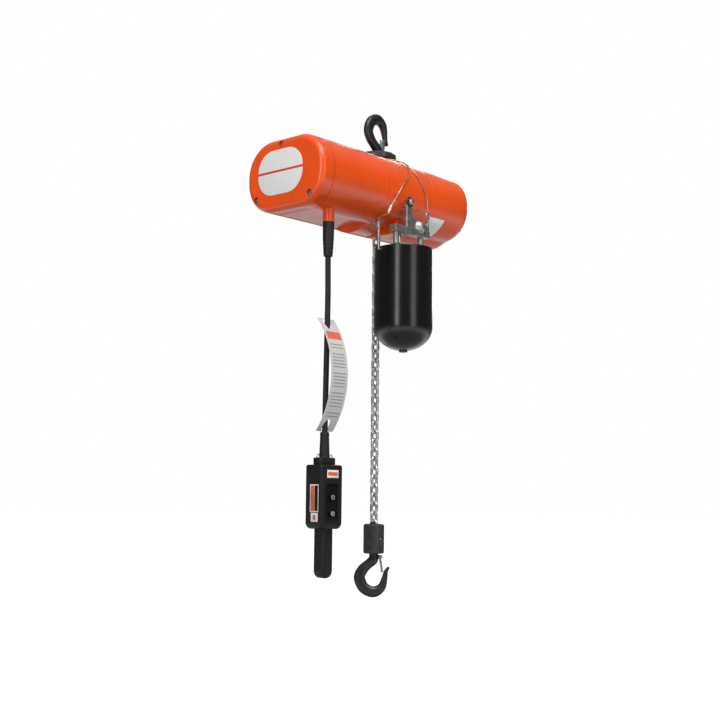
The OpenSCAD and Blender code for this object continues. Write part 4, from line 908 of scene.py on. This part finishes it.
class HOIST_OT_hooks(Operator):
    """Make the two forged hooks"""

    bl_idname = "hoist.hooks"
    bl_label = "Hooks"

    def execute(self, context):
        low, high = spans("lower_hook")
        seat = low[2] + SADDLE_T
        upper = forged_hook("upper_forging", -spans("upper_hook")[0][2], upside_down)
        dress(upper, "black_forging", "upper_hook", ["upper_hook"], 80)
        there = (0, 0, seat)
        lower = forged_hook("lower_forging", high[2] - seat, lambda shape: move(shape, HOOK_TURN, there))
        dress(lower, "black_forging", "lower_hook", ["lower_hook"], 80)
        return {"FINISHED"}


class HOIST_OT_bracket(Operator):
    """Make the cast bracket that carries the chain container"""

    bl_idname = "hoist.bracket"
    bl_label = "Bracket"

    def execute(self, context):
        piece = as_cast(merged_copy("container_bracket", "bracket_casting"), 0.9, 4)
        dress(piece, "zinc", "hoist", ["container_bracket"], 80)
        x, y, z = CONTAINER_AT[0], BODY_FRONT - 9.0, BODY_TOP - 105.0
        eye = torus((x, y, z), Y, 9.4, 1.9, 56, 16)
        make("bracket_eye_ring", [eye], "black_forging", "hoist", sharp=60)
        crown = [(0, 1), (5.2, 1), (5.2, -0.6), (4.4, -1.5), (2.4, -2.0), (0, -2.1)]
        crown = revolve(crown, (x, y - 5.5, z), Y, 40)
        make("bracket_bolt_crown", [crown], "bright_steel", "hoist", sharp=40)
        return {"FINISHED"}


class HOIST_OT_container(Operator):
    """Make the chain container with its rolled rim and domed bottom"""

    bl_idname = "hoist.container"
    bl_label = "Chain container"

    def execute(self, context):
        low, high = spans("chain_container")
        centre = ((low[0] + high[0]) / 2, (low[1] + high[1]) / 2, high[2])
        r, h, dome, wall = (high[0] - low[0]) / 2, 166.0, 50.0, 3.0
        a = np.linspace(0, np.pi / 2, 24)
        dome_out = np.column_stack([r * np.cos(a), -h - dome * np.sin(a)])
        dome_in = np.column_stack([(r - wall) * np.cos(a), -h - (dome - wall) * np.sin(a)])
        t = np.linspace(np.pi, 0, 9)
        lip = np.column_stack([r - wall / 2 + wall / 2 * np.cos(t), wall / 2 * np.sin(t) - wall / 2])
        side = np.column_stack([np.full(12, r), np.linspace(-4, -h + 2, 12)])
        profile = np.concatenate([dome_in[::-1], [(r - wall, -h / 2)], lip, side, dome_out])
        shell = revolve(profile, centre, sides=128)
        knob = revolve(disc(9, -h - dome + 3, -h - dome - 3, 1.2), centre, sides=40)
        make("container_shell", [shell, knob], "container_black", "hoist", ["chain_container"], 50)
        return {"FINISHED"}


class HOIST_OT_safety_wire(Operator):
    """Lay the stranded safety wire from its clip over the body, round the collar and down to the sleeve"""

    bl_idname = "hoist.safety_wire"
    bl_label = "Safety wire"

    def execute(self, context):
        radius, clearance, collar_r, snap_r = 1.2, 1.3, 37.5, 64
        out = radius + clearance
        wire_y, wire_top, ring_r = BODY_FRONT - out, BODY_TOP + out, collar_r + out

        def over(x, degrees):
            a, r = math.radians(degrees), CORNER_R + out
            return (x, BODY_FRONT + CORNER_R - r * math.cos(a), BODY_TOP - CORNER_R + r * math.sin(a))

        bearings = np.radians(-30 + 44 * np.arange(7))
        collar = [(ring_r * math.cos(a), ring_r * math.sin(a), wire_top) for a in bearings]
        high, low = np.array((-70, wire_y, BODY_BOTTOM + 27)), np.array((-77, wire_y, BODY_BOTTOM + 14))
        down = [over(*at) for at in ((-4, 79), (6, 65), (8, 50), (3, 33), (-11, 16), (-30, 1))]
        down += [(-48, wire_y, BODY_BOTTOM + 56), high]
        up = [(46, BODY_FRONT - 7, BODY_BOTTOM + 28.5), (48, wire_y, BODY_BOTTOM + 62)]
        up += [over(*at) for at in ((37, 4), (24, 23), (16, 44), (15, 62), (17, 78))]
        a = math.radians(165)
        x, y = CONTAINER_AT[0] + snap_r * math.cos(a), CONTAINER_AT[1] + snap_r * math.sin(a)
        snap_top = np.array((x, y, BODY_BOTTOM - 6))
        loop = [low, low + 0.4 * (low - high), snap_top + (0, -3, 12), snap_top + (0, 0, 0.1)]
        lay = context.scene.hoist_sizes.wire_lay / MM
        runs = (up + collar + down, loop)
        rope = [tube(catmull(points, 24), radius, 24, strands=6, lay=lay) for points in runs]
        make("wire_rope", rope, "wire_brass", "hoist", ["safety_wire"], 40)
        t = np.linspace(-0.25, 1.2, 25)
        bulge = 1.5 + 1.7 * np.clip(np.sin(np.pi * (t + 0.25) / 1.45), 0, 1) ** 0.6
        sleeve = tube(low + t[:, None] * (high - low), bulge, 24)
        make("sleeve_cover", [sleeve], "sleeve_film", "hoist", sharp=60)
        return {"FINISHED"}


class HOIST_OT_pendant_cable(Operator):
    """Hang the pendant's cable with its strain relief and boot"""

    bl_idname = "hoist.pendant_cable"
    bl_label = "Pendant cable"

    def execute(self, context):
        path, r = catmull(CABLE_ROUTE, 12), CABLE / 2
        cable = make("cable_jacket", [tube(path, r, 32)], "black_rubber", "pendant", ["pendant_cable"], 60)

        height, socket = BOOT_HEAD - BOOT_FOOT, 16.3
        ribs = [(10.6 - 1.6 * t / 46 - (0.3 if (t // 3) % 2 else 0.0), t) for t in range(2, 44)]
        neck = [(9.3, height - 4), (8.6, height - 0.6), (7.8, height), (r + 0.3, height)]
        bottom = [(r + 0.3, height - socket), (0, height - socket)]
        boot = revolve([(0, 0), (10.8, 0), *ribs, *neck, *bottom], (0, 0, BOOT_FOOT))
        boot = make_on_pendant("boot_moulding", [boot], "black_rubber", replaced=["cable_boot"], sharp=40)

        tip = spans("strain_relief")[0][2]
        height = BODY_BOTTOM - 22.3 - tip
        fins = [(9.3 + 0.06 * t - (0.25 if (t // 4) % 2 else 0.0), t) for t in range(3, 38)]
        outside = [(9.0, 0.6), *fins, (11.4, 40), (11.9, height - 1), (11.5, height), (r + 2, height)]
        stem = [(r + 2, height + 24), (3.0, height + 24), (3.0, 12)]
        mouth = [(r + 0.4, 8), (r + 2.2, 0), (8.4, 0), (9.0, 0.6)]
        relief = revolve(outside + stem + mouth, (*CABLE_ROUTE[0][:2], tip), ring=True)
        make("relief_moulding", [relief], "black_rubber", "hoist", ["strain_relief"], 40)

        float(np.linalg.norm(np.diff(path, axis=0), axis=1).sum()) * MM
        return {"FINISHED"}


def box_outline(inset):
    """Front outline of the pendant's box, drawn in by the inset: tight upper corners and round lower ones."""
    upper, lower = (drawn((0, 0), PENDANT_W, BOX_H, r, 12, 6, 0.5)(inset) for r in (4.5, 13.0))
    return (0, BOX_TOP - BOX_H / 2) + np.where(upper[:, 1:] > 0, upper, lower)


grip_outline = drawn((0, BOX_TOP - BOX_H - 38), 30, 116, 14.9, 12, 6, 0.5)


def within(outline):
    """The outline of the hollow behind a wall of the pendant."""
    return lambda d: outline(d + PENDANT_WALL)


def pegs(radius, low, high, places, axis=Y, sides=40):
    """Cylinders of one size at several places, for cutting."""
    return [revolve(rod(radius, low, high), place, axis, sides) for place in places]


def hang(piece):
    """Put a piece that was made in the pendant's own frame where the pendant hangs."""
    there = Matrix.Translation((PENDANT_AT[0] * MM, PENDANT_AT[1] * MM, 0))
    piece.data.transform(there @ Matrix.Rotation(PENDANT_TURN, 4, "Z"))
    return piece


def pendant_shell(name, box, grip, box_hollow, grip_hollow, rounded):
    """One shell of the pendant: box and grip joined, then both hollowed. Each is (low, high, edge)."""
    shell = mesh_object(name, [half_slab(box_outline, *box, rounded)])
    combine(shell, [half_slab(grip_outline, *grip, rounded)], "UNION")
    combine(shell, [half_slab(within(box_outline), *box_hollow, rounded)])
    combine(shell, [half_slab(within(grip_outline), *grip_hollow, rounded)])
    return shell


class HOIST_OT_pendant(Operator):
    """Make the pendant's two shells, its button panel and its clamp"""

    bl_idname = "hoist.pendant"
    bl_label = "Pendant"

    def execute(self, context):
        front, back, split, wall = -PENDANT_D / 2, PENDANT_D / 2, -2.0, PENDANT_WALL
        grip_front, grip_back, top, bottom = -GRIP_D / 2, GRIP_D / 2, BOX_TOP, BOX_TOP - BOX_H
        panel_low, panel_high = BUTTON_Z[1] - 18, BUTTON_Z[0] + 27
        at_buttons = [(0, front, z) for z in BUTTON_Z]

        box, grip = (front, split - 0.1, 5), (grip_front, split - 0.1, 6)
        hollows = (front + wall + 3, split + 4, 3), (grip_front + wall, split + 4, 4)
        shell = pendant_shell("pendant_front_shell", box, grip, *hollows, "low")
        combine(shell, [block((-17, front - 6, panel_low), (17, front + 3, panel_high), 2.0, "y")])
        combine(shell, pegs(6.3, -6, 12, at_buttons))
        dress(hang(shell), "black_plastic", "pendant", ["pendant_front"], 30)

        low, high = (-16.6, front + 2.4, panel_low + 0.4), (16.6, front + 3.4, panel_high - 0.4)
        plate = mesh_object("button_panel", [block(low, high, 0.4, "y")])
        combine(plate, pegs(6.6, -6, 12, at_buttons))
        rivets = [(-12.5, front, z) for z in (panel_high - 5, panel_low + 5)]
        combine(plate, pegs(1.1, -6, 12, rivets, sides=24))
        dress(hang(plate), "panel_gloss", "pendant", sharp=30)

        box, grip = (split + 0.15, back, 5), (split + 0.15, grip_back, 6)
        hollows = (split - 4, back - wall, 3), (split - 4, grip_back - 2 * wall, 4)
        rear = pendant_shell("pendant_back_shell", box, grip, *hollows, "high")
        fingers = pegs(6.5, -20, 20, [(0, 17.4, bottom - 10 - FINGER_PITCH * i) for i in range(6)], X, 32)
        screws = [(sx * 21, back, z) for sx in (-1, 1) for z in (top - 10, bottom + 14)]
        combine(rear, fingers + pegs(SCREW_R, -2, 3, screws, sides=32))
        dress(hang(rear), "black_plastic", "pendant", ["pendant_back"], 30)

        clamp = [slab(drawn((0, 0), 44, 26, 8, 10, 4), top, top + 14, 1.6)]
        ribs = [(x, y) for x in (-15, -9, -3, 3, 9, 15) for y in (-13, 13)]
        clamp += [block((x - 1.3, y - 1.0, top + 1), (x + 1.3, y + 1.0, top + 13), 0.5) for x, y in ribs]
        make_on_pendant("clamp_moulding", clamp, "black_plastic", replaced=["cable_clamp"], sharp=40)
        clips = [torus((x, 0, top + 16.5), Y, 3.6, 1.2) for x in (-17, 17)]
        clips += [block((x - 2.4, -2.2, top + 9), (x + 2.4, 2.2, top + 14.6), 0.6) for x in (-17, 17)]
        make_on_pendant("clamp_clips", clips, "bright_steel", sharp=40)
        return {"FINISHED"}


ARROW = [(0, 2.9), (2.6, -0.2), (1.0, -0.2), (1.0, -2.8), (-1.0, -2.8), (-1.0, -0.2), (-2.6, -0.2)]


class HOIST_OT_buttons(Operator):
    """Make the two push buttons with their arrow marks"""

    bl_idname = "hoist.buttons"
    bl_label = "Buttons"

    def execute(self, context):
        face = -PENDANT_D / 2 - 3.5
        dish = [(5.0 * s, 0.9) for s in np.linspace(0, 1, 7)]
        dish += [(5.15, 0.3), (5.5, 0.05), (5.9, 0.7), (6.0, 1.6)]
        stem = [(6.0, 13.0), (3.2, 13.2), (3.2, 22.5), (0, 22.5)]
        pad = [(0, 0.25), (3.6, 0.3), (4.7, 0.45), (5.0, 0.75), (5.0, 1.4), (0, 1.4)]
        for name, z, way in (("up_button", BUTTON_Z[0], 1), ("down_button", BUTTON_Z[1], -1)):
            cap = revolve(dish + stem, (0, face, z), Y, 48)
            make_on_pendant(name + "_cap", [cap], "button_plastic", name, [name], 40)
            arrow = np.array(ARROW) * (1, way) + (0, z)
            mark = skin(stacked(lambda _: arrow, [(face + 0.05, 0), (face + 0.8, 0)], "y"))
            make_on_pendant(name + "_mark", [mark], "button_plastic", name)
            grey = revolve(pad, (0, face, z), Y, 48)
            make_on_pendant(name + "_pad", [grey], "button_grey", name, sharp=40)
        return {"FINISHED"}


def sticker(side, out, sunk, across, down):
    """Thin plate on the pendant's front or left side: how far it stands out and is sunk, its span across the
    face, and its span down from the top of the box."""
    (a, b), (lower, upper) = across, (BOX_TOP - d for d in down)
    if side == "front":
        face = -PENDANT_D / 2
        return block((a, face - out, lower), (b, face + sunk, upper), 0.12, "y")
    face = -PENDANT_W / 2
    return block((face - out, a, lower), (face + sunk, b, upper), 0.12, "x")


class HOIST_OT_labels(Operator):
    """Make the plain label plates of the pendant"""

    bl_idname = "hoist.labels"
    bl_label = "Labels"

    def execute(self, context):
        black = [sticker("side", 0.25, 0, (-14.5, -5), (91, 41))]
        white = [
            sticker("front", 0.15, 0.2, (-13.5, 16.5), (26, 10.5)),
            sticker("side", 0.15, 0.2, (-14.5, 5.5), (112, 94.5)),
            sticker("side", 0.15, 0.2, (-16, 8.5), (93, 39)),
        ]
        orange = [
            sticker("front", 0.25, 0, (-11.5, 14.5), (21.5, 14.5)),
            sticker("side", 0.25, 0, (-4.5, 6.5), (91, 41)),
            sticker("side", 0.25, 0, (-8.5, -0.5), (108, 98.5)),
        ]
        make_on_pendant("label_panels", black, "button_plastic")
        make_on_pendant("label_plates", white, "label_white")
        make_on_pendant("label_bars", orange, "label_orange")
        return {"FINISHED"}


# (height of a direction, from -1 straight down to 1 straight up; strength of the light from there)
SKY = [(-1, 0.36), (-0.6, 0.45), (-0.36, 1.15), (-0.27, 1.0), (-0.14, 0.3)]
SKY += [(0.02, 0.12), (0.14, 0.08), (0.45, 0.16), (1, 0.45)]


def studio_sky():
    """Dim studio dome for reflections and light, in which the camera itself sees plain white."""
    world = bpy.data.worlds.new("studio")
    world.use_nodes = True
    tree = world.node_tree
    tree.nodes.clear()
    ray = new_node(tree, "ShaderNodeTexCoord").outputs["Generated"]
    height = new_node(tree, "ShaderNodeSeparateXYZ", {0: ray}).outputs["Z"]
    share = new_node(tree, "ShaderNodeMapRange", {"Value": height, "From Min": -1.0}).outputs[0]
    dome = new_node(tree, "ShaderNodeFloatCurve", {"Value": share})
    curve = dome.mapping.curves[0]
    for at, level in SKY[1:-1]:
        curve.points.new((at + 1) / 2, level)
    for point, (at, level) in zip(curve.points, SKY):
        point.location, point.handle_type = ((at + 1) / 2, level), "VECTOR"
    dome.mapping.update()
    light, white = (
        new_node(tree, "ShaderNodeBackground", {0: (1, 1, 1, 1), 1: strength}).outputs[0]
        for strength in (dome.outputs[0], 1.0)
    )
    direct = new_node(tree, "ShaderNodeLightPath").outputs["Is Camera Ray"]
    seen = new_node(tree, "ShaderNodeMixShader", {0: direct, 1: light, 2: white})
    new_node(tree, "ShaderNodeOutputWorld", {0: seen.outputs[0]})
    return world


class HOIST_OT_stage(Operator):
    """Set the pale floor, the soft lights and the camera"""

    bl_idname = "hoist.stage"
    bl_label = "Stage"

    def execute(self, context):
        scene = context.scene
        level = (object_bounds()[0][2] - scene.hoist_sizes.floor_drop) / MM
        c, s = circle(96)
        rings = [np.column_stack([r * c, r * s, np.full(96, level)]) for r in (1.0, 3000.0, 12000.0, 40000.0)]
        floor = mesh_object("floor", [skin(rings, caps=False)])
        glow = {"Emission_Color": (1, 1, 1, 1), "Emission_Strength": 0.42}
        f = Finish("floor", Roughness=0.6, Specular_IOR_Level=0.2, **glow)
        f.colour(f.mottled(2.0, 3.0, (0.87, 0.87, 0.87), (0.9, 0.9, 0.9)))
        f.rough(8.0, 3.0, 0.55, 0.65)
        floor.data.materials.append(f.material)
        floor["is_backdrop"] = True
        floor.visible_diffuse = floor.visible_glossy = False
        scene.world = studio_sky()

        aim = Vector((-0.05, -0.03, -0.35))
        for name, place, size, power in (
            ("sun", (-1.2, -1.6, 2.6), math.radians(35), 2.2),
            ("key", (-2.3, -0.7, 0.4), (0.55, 2.2), 14),
            ("front", (-0.5, -2.6, 0.3), (0.9, 2.4), 11),
            ("rim", (2.0, 1.0, 0.6), (0.8, 1.4), 13),
        ):
            light = bpy.data.lights.new(name, "SUN" if name == "sun" else "AREA")
            light.energy = power
            if name == "sun":
                light.angle = size
            else:
                light.shape, light.size, light.size_y = "RECTANGLE", *size
            lamp = bpy.data.objects.new(name, light)
            lamp.location = place
            lamp.rotation_euler = (aim - Vector(place)).to_track_quat("-Z", "Y").to_euler()
            lamp.visible_camera = False
            scene.collection.objects.link(lamp)

        turn, pitch, roll = math.radians(48), math.radians(6.4), math.radians(-0.6)
        ahead = Vector((math.sin(turn) * math.cos(pitch), math.cos(turn) * math.cos(pitch), math.sin(pitch)))
        flat = Vector((math.cos(turn), -math.sin(turn), 0))
        right = math.cos(roll) * flat - math.sin(roll) * flat.cross(ahead)
        facing = Matrix((right, right.cross(ahead), -ahead)).transposed().to_4x4()
        lens = bpy.data.cameras.new("camera")
        lens.lens, lens.sensor_width = 62.5, 36
        camera = bpy.data.objects.new("camera", lens)
        camera.matrix_world = Matrix.Translation((-2.005, -1.761, -0.818)) @ facing
        scene.collection.objects.link(camera)
        scene.camera = camera
        scene.view_settings.view_transform = "Standard"
        return {"FINISHED"}


class HOIST_PT_dressing(Panel):
    """Lists the hoist's colours, sizes and pieces"""

    bl_label = "Chain hoist"
    bl_idname = "HOIST_PT_dressing"
    bl_space_type = "VIEW_3D"
    bl_region_type = "UI"
    bl_category = "Chain hoist"

    def draw(self, context):
        layout = self.layout
        for group in (context.scene.hoist_colours, context.scene.hoist_sizes):
            for name in group.__annotations__:
                layout.prop(group, name)
        for step in STEPS:
            layout.operator(step.bl_idname)


STEPS = (
    HOIST_OT_stage,
    HOIST_OT_finishes,
    HOIST_OT_pendant_cable,
    HOIST_OT_end_castings,
    HOIST_OT_badge,
    HOIST_OT_hooks,
    HOIST_OT_bracket,
    HOIST_OT_container,
    HOIST_OT_chain,
    HOIST_OT_safety_wire,
    HOIST_OT_pendant,
    HOIST_OT_buttons,
    HOIST_OT_labels,
)
CLASSES = (HoistColours, HoistSizes, *STEPS, HOIST_PT_dressing)


def register():
    for cls in CLASSES:
        bpy.utils.register_class(cls)
    bpy.types.Scene.hoist_colours = PointerProperty(type=HoistColours)
    bpy.types.Scene.hoist_sizes = PointerProperty(type=HoistSizes)


def unregister():
    del bpy.types.Scene.hoist_sizes
    del bpy.types.Scene.hoist_colours
    for cls in reversed(CLASSES):
        bpy.utils.unregister_class(cls)


def main():
    register()
    for step in STEPS:
        family, name = step.bl_idname.split(".")
        getattr(getattr(bpy.ops, family), name)()


if __name__ == "__main__":
    main()
